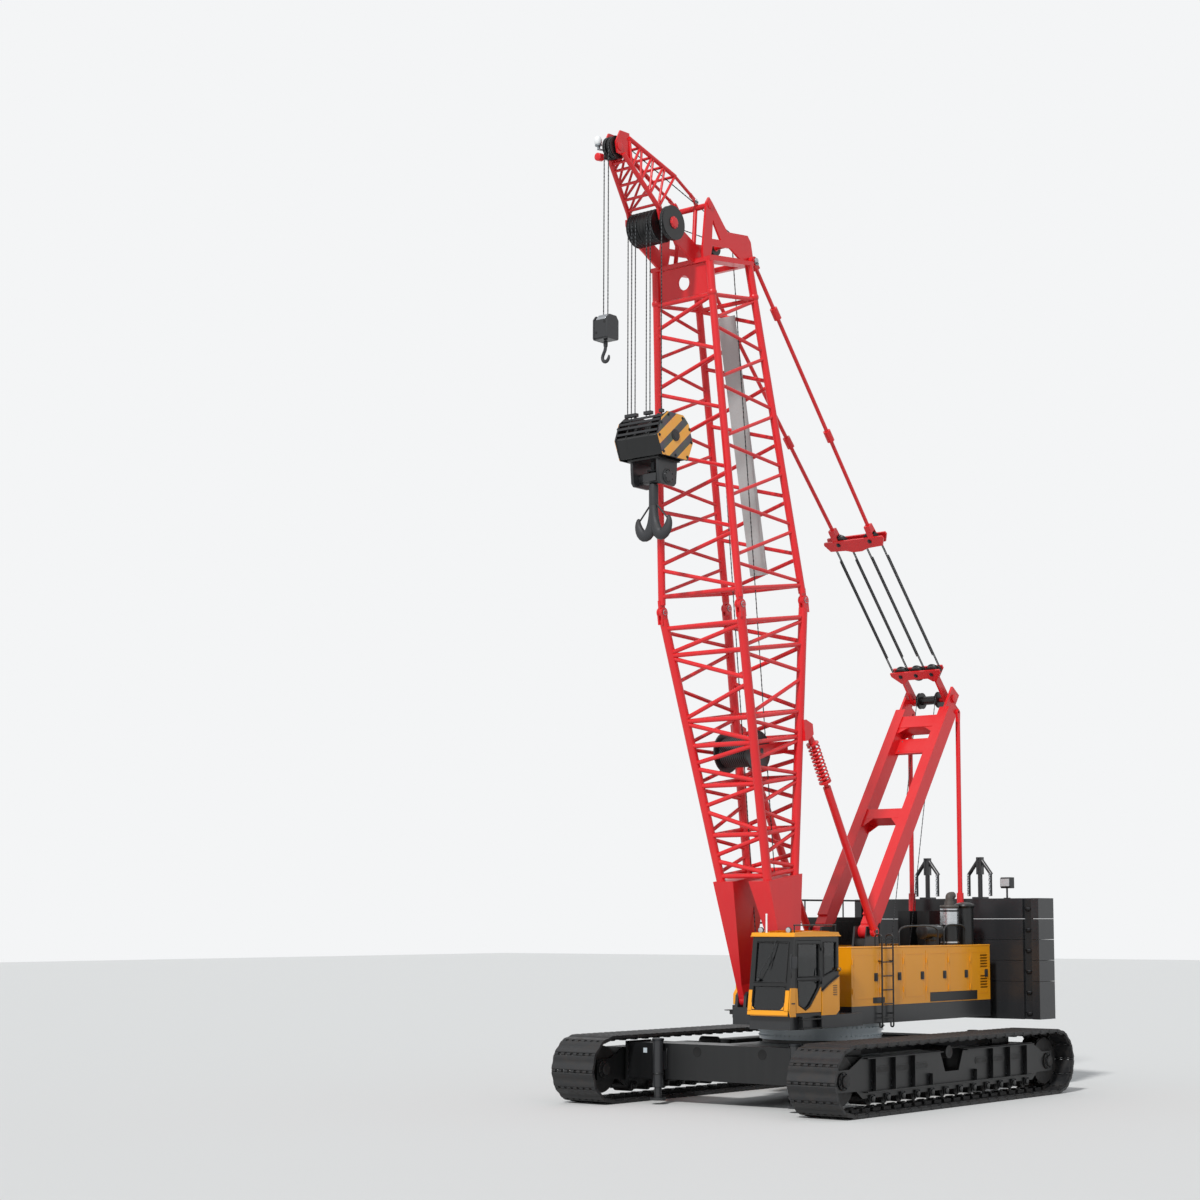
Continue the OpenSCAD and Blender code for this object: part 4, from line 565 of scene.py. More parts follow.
# %% Roller bearings, ribs, hub covers
roller_count, roller_run, tooth_count, frame_half = 12, 5.9, 11, .27
roller_xs = [i * roller_run / (roller_count - 1) - roller_run / 2 for i in range(roller_count)]
pocket = [(a + math.copysign(.17, a), b) for a, b in circle(16, .05, .5)]
for side, y in sides_of_crane:
    bearings, ribs, covers, nuts = pieces(4)
    for s in both:
        face, out = y + s * frame_half, s * Y
        for x in roller_xs:
            bearings.block((x - .085, face, .235), (x + .085, face + s * .035, .395))
            bearings.turned((x, face + s * .034, .31), out, [(0, .062), (.022, .062), (.03, .05)])
            for dx in (-.062, .062):
                nuts.bolt((x + dx, face + s * .035, .375), out, .024)
        for x in (-2.9, -2.2, -1.5, -.85, .85, 1.5, 2.2, 2.9):
            ribs.block((x - .012, face, .46), (x + .012, face + s * .09, 1.08 if abs(x) > 1 else .69))
            for z in (.52, .66):
                nuts.bolt((x + .055, face, z), out)
        for x0, x1, z0, z1 in ((-3.2, 3.2, .44, .462), (-3.2, -.46, 1.085, 1.108), (.46, 3.2, 1.085, 1.108)):
            ribs.block((x0, face, z0), (x1, face + s * .1, z1))
        for x in (-1.85, -1.15, 1.15, 1.85, 2.55, -2.55):
            ribs.plate([(a * 1.12, b * 1.5) for a, b in pocket], (x, face + s * .004, .85), .01)
            covers.plate(pocket, (x, face + s * .01, .85), .006)
        for x in (-straight / 2, straight / 2):
            covers.turned((x, face - s * .01, end_radius), out, [(0, .175), (.035, .175), (.045, .165),
                                                                 (.045, .12), (.085, .11), (.095, .09)], 32)
            nuts.bolt_ring(x, face + s * .035, end_radius, s, 8, .145, .028)
    for k in range(tooth_count):
        covers.where = (Matrix.Translation((-straight / 2, y, end_radius))
                        @ Matrix.Rotation(2 * math.pi * k / tooth_count, 4, "Y"))
        for s in both:
            covers.block((.3, s * .13 - .045, -.06), (.515, s * .13 + .045, .06))
    ribs.done("frame_ribs_" + side, black_enamel, "undercarriage", bevel=.003)
    bearings.done("roller_bearings_" + side, black_enamel, "undercarriage", bevel=.004)
    covers.done("hub_covers_" + side, track_steel, "undercarriage", bevel=.003)
    nuts.done("frame_bolts_" + side, bolt_steel, "undercarriage")
print("bearing blocks:", len(roller_xs) * 4)

# %% [markdown]
# ## Carbody and slewing ring
# The carbody is a thick H of box girders. Its ends carry flanges bolted to the side
# frames, and the ends of its girders show a plugged hole and a pale lifting mark in each half. The
# feet and the cylinder heads of its jacks are turned. The slewing ring is held by two circles
# of tensioned bolts, 72 in each on this size.

# %% Carbody fittings
flanges, fittings, marks, plugs = pieces(4)
for sx, sy in product(both, both):
    x, y, face = sx * 2.85, sy * 2.7, sx * 3.2
    flanges.block((x - .4, y, .44), (x + .4, y - sy * .05, 1.25))
    for dx in (-.37, .37):
        for k in range(6):
            fittings.bolt((x + dx, y - sy * .05, .52 + k * .13), -sy * Y, .036)
    plugs.turned((face - sx * .004, sy * .83, 1.08), sx * X,
                 [(0, .105), (.008, .105), (.01, .098), (.006, .09), (.005, .02)], 28)
    marks.block((face, sy * 2.2 - .05, 1.02), (face + sx * .003, sy * 2.2 + .05, 1.12))
    jack = Vector((sx * 3.33, sy * 1.75, 0))
    fittings.turned(jack + 1.28 * Z, Z, [(0, .115), (.02, .125), (.05, .125), (.06, .1)], 28)
    flanges.turned(jack + .6 * Z, Z, [(0, .125), (.03, .125), (.04, .112)], 28)
    for dy in (.14, -.14):
        flanges.plate([(-.2, 0), (0.0, 0), (0.0, .4), (-.04, .42)], jack + Vector((-sx * .1, dy, .72)),
                      .02, sx * X)
flanges.done("carbody_flanges", black_enamel, "undercarriage", bevel=.004)
fittings.done("carbody_bolts", bolt_steel, "undercarriage")
# the lifting marks share the pale grey that is painted lighter, as painted light
marks.done("lifting_marks", pale_enamel_painted_light, "undercarriage", bevel=.001)
plugs.done("carbody_plugs", plug_rubber, "undercarriage")
ring_bolts = 72
# the ring bolts share the ring's pale grey, painted lighter as painted light against the shade under the deck
for name, radius, z, body in (("low", 1.3, 1.345, "undercarriage"), ("high", 1.34, 1.52, "upperworks")):
    ring = Piece()
    for a, b in circle(ring_bolts):
        ring.bolt(Vector((a, b, 0)) * radius + z * Z, (a, b, 0))
    ring.done("ring_bolts_" + name, pale_enamel_painted_light, body)
print("ring bolts:", 2 * ring_bolts)

# %% [markdown]
# ## Housings
# The sheet housings hide the engine on one side and the pumps on the other. Doors hang between
# the seams of the CAD solid. A door has a flush paddle latch in a black dish, two
# piano-style hinges, and a pressed frame line. Blades fill the louvres at the rear, and a
# rolled gutter runs along the roof. Bare black plates sit low on both sides.

# %% Doors, latches, louvres, gutters
latches, hinges, blades, gutters, plates = pieces(5)
housing_half, housing_rear, louvre_x, gutter_z, door_low, door_high = 1.5, -4.5, -4.25, 3.178, 2.12, 3.02
seams = [.86 - i * .9 for i in range(1, 6)]
for s, front in ((1, 1.01), (-1, .88)):
    y, out = s * housing_half, s * Y
    for x0, x1 in zip([front - .02] + seams, [x + .014 for x in seams] + [housing_rear + .02]):
        if x0 - x1 < .6:
            continue
        # a pressed line, 8 mm wide, inside each door's edge
        a, b = x1 + .07, x0 - .07
        for line in ((a, b, door_low, door_low + .008), (a, b, door_high, door_high + .008),
                     (a, a + .008, door_low, door_high + .008), (b - .008, b, door_low, door_high + .008)):
            hinges.block((line[0], y, line[2]), (line[1], y + s * .004, line[3]))
        lx = x1 + .13
        latches.plate([(-.055, -.085), (.055, -.085), (.065, -.075), (.065, .075), (.055, .085),
                       (-.055, .085), (-.065, .075), (-.065, -.075)], (lx, y + s * .005, 2.56), .01)
        latches.plate([(-.03, -.06), (.03, -.06), (.036, .05), (-.036, .05)], (lx, y + s * .016, 2.56), .014)
        latches.turned((lx, y + s * .01, 2.6), out, [(0, .014), (.018, .014), (.02, .011)], 14)
        for z in (2.28, 2.88):
            hinges.rod((x0 - .012, y + s * .01, z - .06), (x0 - .012, y + s * .01, z + .06), .011, 10)
            hinges.block((x0 - .07, y, z - .05), (x0 - .01, y + s * .005, z + .05))
    gutters.rod((housing_rear - .02, y - s * .012, gutter_z), (front, y - s * .012, gutter_z), .02, 12)
    for x in (housing_rear - .008, front - .012):
        gutters.rod((x, y, gutter_z), (x, s * .8, gutter_z), .018, 12)
    if s > 0:
        for z in (2.21, 2.67):
            for k in range(5):
                blades.plate([(-.012, -.004), (.026, .03), (.026, .034), (-.012, .001)],
                             (louvre_x, y - .018, z + .024 + k * .062), .296, Y)
        # the backing plates behind the blades are in the darkened yellow: painted shade behind the louvres
        for z in (2.21, 2.67):
            blades.plate(sheet(-.16, -.035, .16, .36), (louvre_x, y - .022, z), .003)
    else:
        plates.block((-.4, y - .004, 2.2), (.25, y, 2.5))
plates.plate(sheet(-1.05, -.1, .9, .1), (-2.9, housing_half + .003, 2.09), .006)
plates.block((-.22, housing_half, 2.02), (.22, housing_half + .005, 2.14))
latches.done("door_latches", dark_plastic, bevel=.002)
hinges.done("door_hinges", yellow_enamel, bevel=.001)
# the blades are in the darkened yellow: painted shade of the louvres
blades.done("louvre_blades", louvre_enamel_painted_shade)
gutters.done("roof_gutters", yellow_enamel)
plates.done("blank_plates", black_enamel, bevel=.001)
print("seams on each housing:", len(seams))

# %% [markdown]
# ## Ladder ends and roof fittings
# The ladder hangs from two hooks over the roof's edge, and its feet bend in to the deck. Two
# bent tubes behind it are rails for the people on the roof. The silencer stands on the engine
# housing in a bright shield with a rain bend, and beside it are an air cleaner's cap and a fuel
# filler. Upright slats stiffen the sides of the black box on the far roof.

# %% Ladder hooks, rails, exhaust, caps
def tube(piece, path, radius, closed=False):
    """A round tube along a path."""
    piece.sweep(path, circle(12, radius), closed=closed)


def bend(points, steps=6):
    """Rounds the corners of a path with short curves, by cutting each corner over a third of its sides."""
    points, path = [Vector(p) for p in points], []
    for i, p in enumerate(points):
        if 0 < i < len(points) - 1:
            a, b = p.lerp(points[i - 1], .33), p.lerp(points[i + 1], .33)
            path += [a.lerp(p, t).lerp(p.lerp(b, t), t) for t in [k / steps for k in range(steps + 1)]]
        else:
            path.append(p)
    return path


hooks, exhaust, bands, caps = pieces(4)
for x in (-.42, 0.0):
    tube(hooks, bend([(x, 1.59, 3.25), (x, 1.59, 3.44), (x, 1.42, 3.44), (x, 1.42, 3.2)]), .0175)
    tube(hooks, bend([(x, 1.59, 1.7), (x, 1.59, 1.52), (x, 1.52, 1.52), (x, 1.52, 1.62)]), .0175)
silencer_x, silencer_y = -3.5, 1.08
exhaust.turned((silencer_x, silencer_y, 4.01), Z,
               [(0, .2), (.03, .215), (.06, .205), (.07, .11), (.16, .1)], 32)
tube(exhaust, bend([(silencer_x, silencer_y, 4.12), (silencer_x, silencer_y, 4.28), (-3.66, silencer_y, 4.29)]), .085)
for z, half in ((3.25, .02), (3.78, .15), (3.98, .02)):
    bands.turned((silencer_x, silencer_y, z), Z,
                 [(-half, .201), (.005 - half, .21), (half - .005, .21), (half, .201)], 32)
exhaust.done("silencer_pipe", cast_steel("scaled_pipe_steel", "#4a4642", "#5c4a3c", .2))
bands.done("silencer_bands", aluminium)
for x0, x1, z in ((-.95, -2.5, 3.62), (-2.75, -3.65, 3.64)):
    tube(hooks, bend([(x0, 1.4, 3.16), (x0, 1.4, z), (x1, 1.4, z), (x1, 1.4, 3.16)]), .018)
hooks.done("ladder_hooks", black_enamel)
caps.turned((-4.15, 1.08, 4.005), Z, [(0, .205), (.05, .235), (.09, .225), (.13, .12), (.14, .05)], 32)
caps.turned((-2.75, 1.05, 3.28), Z, [(0, .115), (.02, .125), (.06, .125), (.075, .1)], 24)
for x in (-3.06, -2.42):
    caps.turned((x, 1.05, 3.49), X, [(-.015, .152), (-.01, .16), (.01, .16), (.015, .152)], 28)
for y, proud in ((-1.4, -.006), (-.9, .006)):
    for x in (-3.45 + k * .24 for k in range(9)):
        caps.block((x - .09, y, 3.3), (x + .09, y + proud, 3.72))
caps.done("roof_caps", black_enamel, bevel=.003)
print("roof pieces: silencer_pipe, silencer_bands, ladder_hooks, roof_caps")

# %% [markdown]
# ## The cab's outside
# A crane cab is a welded frame with bonded panes. Black rubber seals the panes, a bright
# yellow band goes round the lower windscreen, and the door has a bar across its middle, a
# bow handle and a keyed lock. A wiper parks on the upper windscreen. The windscreen leans back,
# so what sits on it is built in a frame that leans the same way: its origin is at the
# windscreen's foot, and it runs up along the pane and across the cab.

# %% Window seals
floor_z, cab_rear, cab_front, cab_out, cab_in, cab_top = 1.86, 1.93, 3.67, 1.82, .82, 3.42
door_rear, door_front = cab_rear + .62, cab_front - .24
door_low_window = [
    (door_front - .11, floor_z + .23), (door_front - .33, floor_z + .13), (door_front - .48, floor_z + .2),
    (door_rear + .07, floor_z + .56), (door_rear + .07, floor_z + .7), (door_front - .07, floor_z + .7)]
door_high_window = [(door_front - .07, floor_z + .77), (door_rear + .07, floor_z + .77), (door_rear + .07, 3.28),
                    (door_front - .09, 3.28)]
rear_side_window = [(cab_rear + .09, floor_z + .9), (door_rear - .09, floor_z + .77),
                    (door_rear - .09, cab_top - .11), (cab_rear + .09, cab_top - .11)]
far_side_window = sheet(cab_rear + .12, floor_z + .7, cab_front - .33, cab_top - .13)
shell_seals, door_seals = pieces(2)
for piece, outline, y in (
        (shell_seals, rear_side_window, cab_out + .002), (shell_seals, far_side_window, cab_in - .002),
        (door_seals, door_low_window, cab_out + .002), (door_seals, door_high_window, cab_out + .002)):
    tube(piece, [(x, y, z) for x, z in outline], .016, closed=True)
screen = leaning(cab_front, floor_z + .12, math.degrees(math.atan2(-.2, 1.44)))
shell_seals.where = screen
for z0, z1 in ((.012, .482), (.555, 1.345)):
    tube(shell_seals, [(.004, y, z) for y, z in sheet(cab_in + .11, z0, cab_out - .11, z1)], .015, closed=True)
shell_seals.done("window_seals", seal_rubber)
door_seals.done("door_window_seals", seal_rubber, "cab_door")

# %% Windscreen band and wiper, door handle and sheet, mirror, aerial
band = Piece(screen)
for y0, y1, z0, z1 in ((cab_in + .005, cab_in + .088, -.02, .4), (cab_out - .1, cab_out - .005, -.02, .4),
                       (cab_in + .005, cab_out - .005, -.09, .005)):
    band.block((-.002, y0, z0), (.014, y1, z1))
for y, s in ((cab_in + .086, 1), (cab_out - .098, -1)):
    band.plate([(y, 0), (y, .17), (y + s * .03, .08), (y + s * .08, .03), (y + s * .17, 0)], (.006, 0, 0), .016, Y)
band.where = Matrix()
band.plate(sheet(0, 0, .92, .075), (cab_front - .045, cab_in + .04, floor_z + .01), .012, Y, (.45, 0, 1))
band.done("windscreen_band", yellow_enamel, bevel=.004)

wiper = Piece(screen)
wiper.turned((.004, 1.05, .6), X, [(0, .035), (.04, .03), (.05, .018)], 18)
tube(wiper, bend([(.045, 1.05, .6), (.06, 1.1, .72), (.05, 1.34, 1.12)]), .007)
wiper.plate(sheet(-.3, -.004, .3, .01), (.03, 1.34, 1.1), .012, (0, .25, 1), X)
wiper.done("windscreen_wiper", dark_plastic, bevel=.001)

handle, handle_x, bar_z = Piece(), 2.64, 2.595
tube(handle, bend([(handle_x, cab_out, 2.78), (handle_x, cab_out + .045, 2.78), (handle_x, cab_out + .045, 2.5),
                   (handle_x, cab_out, 2.5)]), .01)
handle.plate(sheet(-.035, -.05, .035, .05), (2.72, cab_out + .004, bar_z), .012)
handle.turned((2.72, cab_out + .008, 2.605), Y, [(0, .013), (.012, .012)], 14)
handle.plate(sheet(0, -.018, .78, .018), (door_rear + .05, cab_out + .006, bar_z), .012)
handle.done("door_handle", dark_plastic, "cab_door", bevel=.002)
# the yellow sheet runs on over the foot of the door, under its window
door_sheet = Piece()
door_sheet.plate([(door_front - .012, floor_z + .07), (door_front - .012, floor_z + .55),
                  (door_front - .06, floor_z + .55), (door_front - .085, floor_z + .22),
                  (door_front - .33, floor_z + .105), (door_front - .49, floor_z + .175),
                  (door_rear + .04, floor_z + .545), (door_rear + .012, floor_z + .555),
                  (door_rear + .012, floor_z + .07)], (0, cab_out + .005, 0), .008)
door_sheet.done("door_yellow_sheet", yellow_enamel, "cab_door")

mirror = Piece()
tube(mirror, bend([(3.5, cab_out - .02, 3.05), (3.64, cab_out + .05, 3.1), (3.645, cab_out + .06, 2.72),
                   (3.55, cab_out - .01, 2.62)]), .009)
mirror.plate([(-.07, -.12), (.07, -.12), (.08, -.1), (.08, .1), (.07, .12), (-.07, .12), (-.08, .1), (-.08, -.1)],
             (3.62, cab_out + .1, 2.92), .035, Y)
mirror.done("side_mirror", dark_plastic, bevel=.006)
pole = Piece()
pole.turned((3.4, 1.1, 3.48), Z, [(0, .04), (.02, .04), (.03, .02), (.36, .018), (.39, .024), (.4, .012)], 18)
pole.done("aerial_pole", white_plastic)
print("window seals, band, wiper, handle, mirror, aerial")

# %% [markdown]
# ## The cab's roof, side and step
# The roof is stiffened by pressed ribs and has a lip all round. Two work lamps stand on stalks
# at its front edge; their lenses are pieces of their own, with ribs. A black line sweeps
# over the yellow side panel, and a small vent with five slots and a cap sits at its rear.

# %% Roof ribs, lamps, side trim, step, console
roof_parts, lamps, lenses = pieces(3)
for y in (1.0, 1.16, 1.32, 1.48, 1.64):
    roof_parts.sweep([(2.02, y, 3.508), (2.83, y, 3.5315), (3.4, y, 3.508)],
                     [(.03, -.004), (.018, .006), (-.018, .006), (-.03, -.004)])
lip = [(cab_rear - .03, cab_in - .03), (3.5, cab_in - .03), (3.5, cab_out + .03), (cab_rear - .03, cab_out + .03)]
tube(roof_parts, [(x, y, 3.432) for x, y in lip], .012, closed=True)
roof_parts.done("roof_ribs", yellow_enamel)
for y in (cab_in + .16, cab_out - .16):
    at = Vector((3.44, y, 3.55))
    lamps.turned(at, (-1, 0, .1), [(0, .062), (.03, .062), (.075, .035), (.085, .02)], 22)
    lamps.rod(at + Vector((-.03, 0, -.09)), at + Vector((-.03, 0, 0)), .01, 10)
    lenses.turned(at - .004 * X, (1, 0, -.1), [(0, .056), (.008, .054), (.014, .04), (.016, .01)], 22)
lamps.done("work_lamps", dark_plastic)
lenses.done("work_lamp_lenses", lamp_lens)

side_panel, side_vent = pieces(2)
line = ((cab_rear + .005, floor_z + .775), (door_rear - .22, floor_z + .6), (door_rear - .012, floor_z + .47))
tube(side_panel, bend([(x, cab_out + .02, z) for x, z in line]), .009)
for k in range(5):
    side_vent.plate(sheet(-.07, -.012, .07, .012), (cab_rear + .16, cab_out + .02, floor_z + .4 + k * .045), .008)
side_panel.plate(sheet(-.055, -.012, .055, .012), (door_front + .1, cab_out + .021, floor_z + .26), .008)
side_vent.turned((cab_rear + .04, cab_out + .006, floor_z + .9), Y,
                 [(0, .03), (.02, .045), (.05, .045), (.07, .03)], 18)
side_panel.done("cab_side_trim", dark_plastic)
# the vent's slots and cap are in the darkened yellow: painted shade
side_vent.done("cab_side_vent", louvre_enamel_painted_shade)

step, console = pieces(2)
for z in (1.62, 1.8):
    step.block((2.62, 1.8, z - .012), (3.3, 1.9, z + .012))
for x in (2.64, 3.28):
    step.block((x - .012, 1.78, 1.6), (x + .012, 1.9, 1.86))
step.done("cab_step", black_enamel, bevel=.004)
console.plate([(-.05, 0), (.05, 0), (.12, .5), (.09, .58), (-.02, .6)], (3.3, 1.32, 1.93), .46)
for y in (1.12 - .13, 1.5 + .13):
    console.rod((2.86, y, 2.48), (2.88, y, 2.66), .012, 12)
    console.turned((2.88, y, 2.66), Z, [(0, .016), (.03, .026), (.07, .024), (.085, .01)], 16)
console.done("cab_console", dark_plastic, bevel=.006)
print("roof ribs, lamps, trim, vent, step, console")

# %% [markdown]
# ## The operator's seat
# The seat has foam cushions in woven cloth on a plastic base, with arm consoles on both
# sides. A cushion is crowned: its faces swell and its sides pull in between the corners. It starts
# as a block with fine divisions, each point is pushed out by how far it is from the block's edges,
# and a subdivision surface rounds it. The base and arms keep the CAD's places.

# %% Seat base, arms and crowned cushions
seat_y, seat_z = 1.32, floor_z + .06
base = Piece()
base.block((cab_rear + .42, seat_y - .22, seat_z + .002), (cab_rear + .9, seat_y + .22, seat_z + .1))
base.block((cab_rear + .5, seat_y - .15, seat_z + .09), (cab_rear + .82, seat_y + .15, seat_z + .33))
bellows = sheet(cab_rear + .46, seat_y - .19, cab_rear + .86, seat_y + .19)
for k in range(5):
    tube(base, [(x, y, seat_z + .13 + k * .042) for x, y in bellows], .02, closed=True)
for s in both:
    base.plate([(0, 0), (.42, 0), (.5, .46), (.48, .56), (.02, .56), (0, .52)],
               (cab_rear + .5, seat_y + s * .32, seat_z + .002), .115)
base.done("seat_base", dark_plastic, bevel=.012)


def rounded(piece, name):
    """A subdivision surface, one level, over a coarse mesh."""
    surface = piece.modifiers.new(name, "SUBSURF")
    surface.levels = surface.render_levels = 1
    return piece


def cushion(name, low, high, crown):
    """A crowned cushion between two corners. crown is how far the faces swell, in metres."""
    mesh = bmesh.new()
    bmesh.ops.create_cube(mesh, size=2)
    bmesh.ops.subdivide_edges(mesh, edges=mesh.edges[:], cuts=7, use_grid_fill=True)
    size, centre = (Vector(high) - Vector(low)) / 2, (Vector(high) + Vector(low)) / 2
    for v in mesh.verts:
        x, y, z = v.co
        swell = [(1 - (y * z) ** 2) * (1 - y * y) * (1 - z * z), (1 - x * x) * (1 - z * z), (1 - x * x) * (1 - y * y)]
        spread = abs(x) + abs(y) + abs(z)
        pull = 1 - .05 * (spread - 1 if spread > 2.2 else 0)
        seam_line = .94 if abs(abs(y) - .5) < .02 and abs(z) > .99 else 1.0
        v.co = centre + Vector([c * half * pull * seam - math.copysign(crown * (1 - swelling), c) * (abs(c) > .99)
                                for c, half, swelling, seam in zip((x, y, z), size, swell, (1, 1, seam_line))])
    piece = rounded(new_object(name, mesh, seat_cloth), "rounding")
    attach(piece, "upperworks")
    return piece


sit = cushion("seat_cushion", (cab_rear + .4, seat_y - .25, seat_z + .335),
              (cab_rear + .94, seat_y + .25, seat_z + .468), .022)
lean = cushion("seat_back_cushion", (cab_rear + .305, seat_y - .24, seat_z + .44),
               (cab_rear + .435, seat_y + .24, seat_z + 1.08), .02)
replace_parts(sit, "cab_seat")
print("cushions:", sit.name, lean.name)

# %% [markdown]
# ## Rope on the drums
# Rope lies on a drum in touching turns, layer over layer. Each layer is a helix with a
# pitch of one rope's diameter. At this size one helix per drum would be a very long sweep,
# so the outer layer is a turned body whose profile is a row of half rounds: it looks the same, is
# light, and turns with the drum. Bolts hold the hubs in the flanges of the deck's drums.

# %% Wound drums
def wound_drum(name, body, centre, barrel, half_width, rope):
    turns = int(2 * half_width / rope)
    profile = [(0, barrel)]
    for i in range(turns):
        for k in range(1, 6):
            a = math.pi * k / 6
            profile.append((i * rope + rope * (1 - math.cos(a)) / 2, barrel + rope * .45 + rope * .5 * math.sin(a)))
        profile.append(((i + 1) * rope, barrel + rope * .45))
    profile.append((turns * rope + .0005, barrel))
    rope_turns = Piece()
    rope_turns.turned(Vector(centre) - Y * turns * rope / 2, Y, profile, 48)
    rope_turns.done(name, rope_wire, body, smooth=60)


drum_z = 2.48
deck_drums = (("main", -.3, .26, .026, .33), ("aux", -1.65, .26, .026, .33), ("luffing", -2.75, .23, .022, .3))
for name, x, barrel, rope, _ in deck_drums:
    wound_drum(name + "_rope_turns", name + "_drum", (x, 0, drum_z), barrel + .001, .345, rope)
wound_drum("boom_drum_rope_turns", "boom_drum", boom @ Vector((.15, 0, 5.18)), .296, .375, .026)
for name, x, _, _, bolt_circle in deck_drums:
    rims = Piece()
    for s in both:
        rims.turned((x, s * .39, drum_z), s * Y, [(0, .1), (.012, .1), (.016, .075)], 24)
        rims.bolt_ring(x, s * .39, drum_z, s, 10, bolt_circle, .024, 0)
    rims.done(name + "_drum_flange_bolts", bolt_steel, name + "_drum")
print("wound drums: 4")

# %% [markdown]
# ## Hoist ropes
# A hoist rope leaves its drum, turns under a guide roller at the boom's foot, runs up
# inside the lattice, and passes over a guide sheave at the rear of the boom's head to its hoist
# sheave. It is drawn as six strands twisted round each other: a six-lobed section that turns
# once in every six and a half diameters (drawn as once in 0.4 m, so that it shows).

# %% Guide rollers and running ropes
rope_radius, lay = .013, .4
lobes = [rope_radius * (.82 + .18 * math.cos(2 * math.pi * k / 3)) for k in range(18)]
strands = [(a * lobe, b * lobe) for (a, b), lobe in zip(circle(18), lobes)]


def rope_between(piece, path, step=.1, scale=1.0):
    """Twisted rope along a path, with rings every step metres."""
    path = [Vector(p) for p in path]
    fine = [path[0]]
    for a, b in zip(path, path[1:]):
        n = max(1, round((b - a).length / step))
        fine += [a.lerp(b, k / n) for k in range(1, n + 1)]
    piece.sweep(fine, scaled(strands, scale), twist=2 * math.pi / lay)


def around(x, z, y, radius, start, end, steps=10):
    """Points round a sheave, from one angle to another, in degrees from its front."""
    return [Vector((x + radius * math.cos(math.radians(a)), y, z + radius * math.sin(math.radians(a))))
            for a in [start + (end - start) * k / steps for k in range(steps + 1)]]


def sheave_profile(radius, width, groove):
    half = [(-width / 2, .05), (-width / 2, radius), (-width / 2 + .008, radius), (-.016, radius - groove + .004)]
    return half + [(0, radius - groove)] + [(-along, r) for along, r in half[::-1]]


foot_guide, foot_brackets, deck_ropes = pieces(3)
guide_x, guide_z, drum_top = 1.65, 2.13, drum_z + .26 + .024
for y, drum_x in ((-.3, -.3), (.3, -1.65)):
    foot_guide.turned((guide_x, y, guide_z), Y, sheave_profile(.125, .06, .028), 32)
    for dy in (-.06, .06):
        foot_brackets.plate([(-.16, -.185), (.16, -.185), (.08, .05), (-.08, .05)], (guide_x, y + dy, guide_z), .016)
    foot_brackets.rod((guide_x, y - .085, guide_z), (guide_x, y + .085, guide_z), .03, 16)
    # from the drum's top to the underside of the roller
    rope_between(deck_ropes, [(drum_x, y, drum_top)] + around(guide_x, guide_z, y, .11, 248, 360, 6)[:-1]
                 + [(1.76, y, guide_z)])
foot_guide.done("foot_guide_sheaves", black_enamel)
foot_brackets.done("foot_guide_brackets", black_enamel, bevel=.004)
deck_ropes.done("hoist_ropes_deck", rope_wire)

boom_ropes, head_guides, guide_hubs = pieces(3, boom)
guide_f, guide_s = -.89, 15.78
for foot_y, y, leaves_at, over in ((-.3, -.3, 88, (1.495, -.302, 16.245)), (.3, .27, 70, (2.45, .055, 17.575))):
    head_guides.turned((guide_f, y, guide_s), Y, sheave_profile(.165, .06, .028), 36)
    guide_hubs.turned((guide_f, y - .045, guide_s), Y, [(0, .07), (.09, .07)], 24)
    rope_between(boom_ropes, [(-.09, foot_y, .02), (guide_f + .15, y, 15.7)]
                 + around(guide_f, guide_s, y, .15, 0, leaves_at, 6) + [over])
head_guides.done("head_guide_sheaves", black_enamel, "boom")
guide_hubs.done("head_guide_hubs", red_enamel, "boom")
boom_ropes.done("hoist_ropes_boom", rope_wire, "boom")

luffing = Piece()
for y in (-.25, .25):
    rope_between(luffing, [Vector((-2.995, y, 2.5)), mast_axle + Vector((.175, y, .06))], scale=.85)
    luffing.sweep(around(mast_axle.x, mast_axle.z, y, .172, 20, 140, 12), scaled(strands, .85))
luffing.done("luffing_rope_deck", rope_wire)
print("running ropes made")

# %% [markdown]
# ## Rope over the sheaves, and the falls
# On the hoist sheaves each fall lies in its groove. The falls themselves change length with the
# hook; here each bundle is one mesh on no body, from the boom's sheaves
# down to the hook block, with its place baked into its points.

# %% Falls from the sheaves to the hooks
head_axle, tip_axle = boom @ Vector((1.495, 0, 15.93)), boom @ Vector((2.56, 0, 17.4))
fall_ys, aux_ys = (-.398, -.302, -.206, .082, .178, .47), (-.055, .055)
fall_x, aux_x = head_axle.x + .35 - rope_radius, tip_axle.x + .23 - rope_radius
block_x, block_top, aux_top = fall_x - .337, head_axle.z - 3.9, tip_axle.z - 3.45
for body, axle, ys, radius, steps in (("head_sheaves", head_axle, fall_ys, .325, 36),
                                      ("tip_sheaves", tip_axle, aux_ys, .208, 30)):
    in_grooves = Piece()
    for y in ys:
        in_grooves.sweep(around(axle.x, axle.z, y, radius, 0, 350, steps)[:-1], scaled(strands[::2], .9), closed=True)
    in_grooves.done("rope_in_" + body, rope_wire, body)


def stretching_falls(name, node, x, ys, top, foot):
    falls = Piece()
    for y in ys:
        rope_between(falls, [(x, y, top), (x, y, foot)], step=.08)
    piece = falls.done(name, rope_wire, None)
    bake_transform(piece)
    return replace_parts(piece, node)


main = stretching_falls("main_hoist_falls", "main_falls", fall_x, fall_ys, head_axle.z, block_top - .06)
aux = stretching_falls("aux_hoist_falls", "aux_fall", aux_x, aux_ys, tip_axle.z, aux_top - .06)
print("falls:", len(main.data.polygons), "and", len(aux.data.polygons), "faces")

# %% [markdown]
# ## The main hook block
# A hook block is a stack of plates: outer cheeks painted as a warning, inner plates that carry
# the axle, and between them one sheave under each fall. Bars across the
# front and back keep the ropes in their grooves. Below hangs the crosshead, two plates with a thick
# round bar that the hook's shank goes through. The plates are cut outlines, so each edge
# stays sharp, and the sheaves are turned from one section.

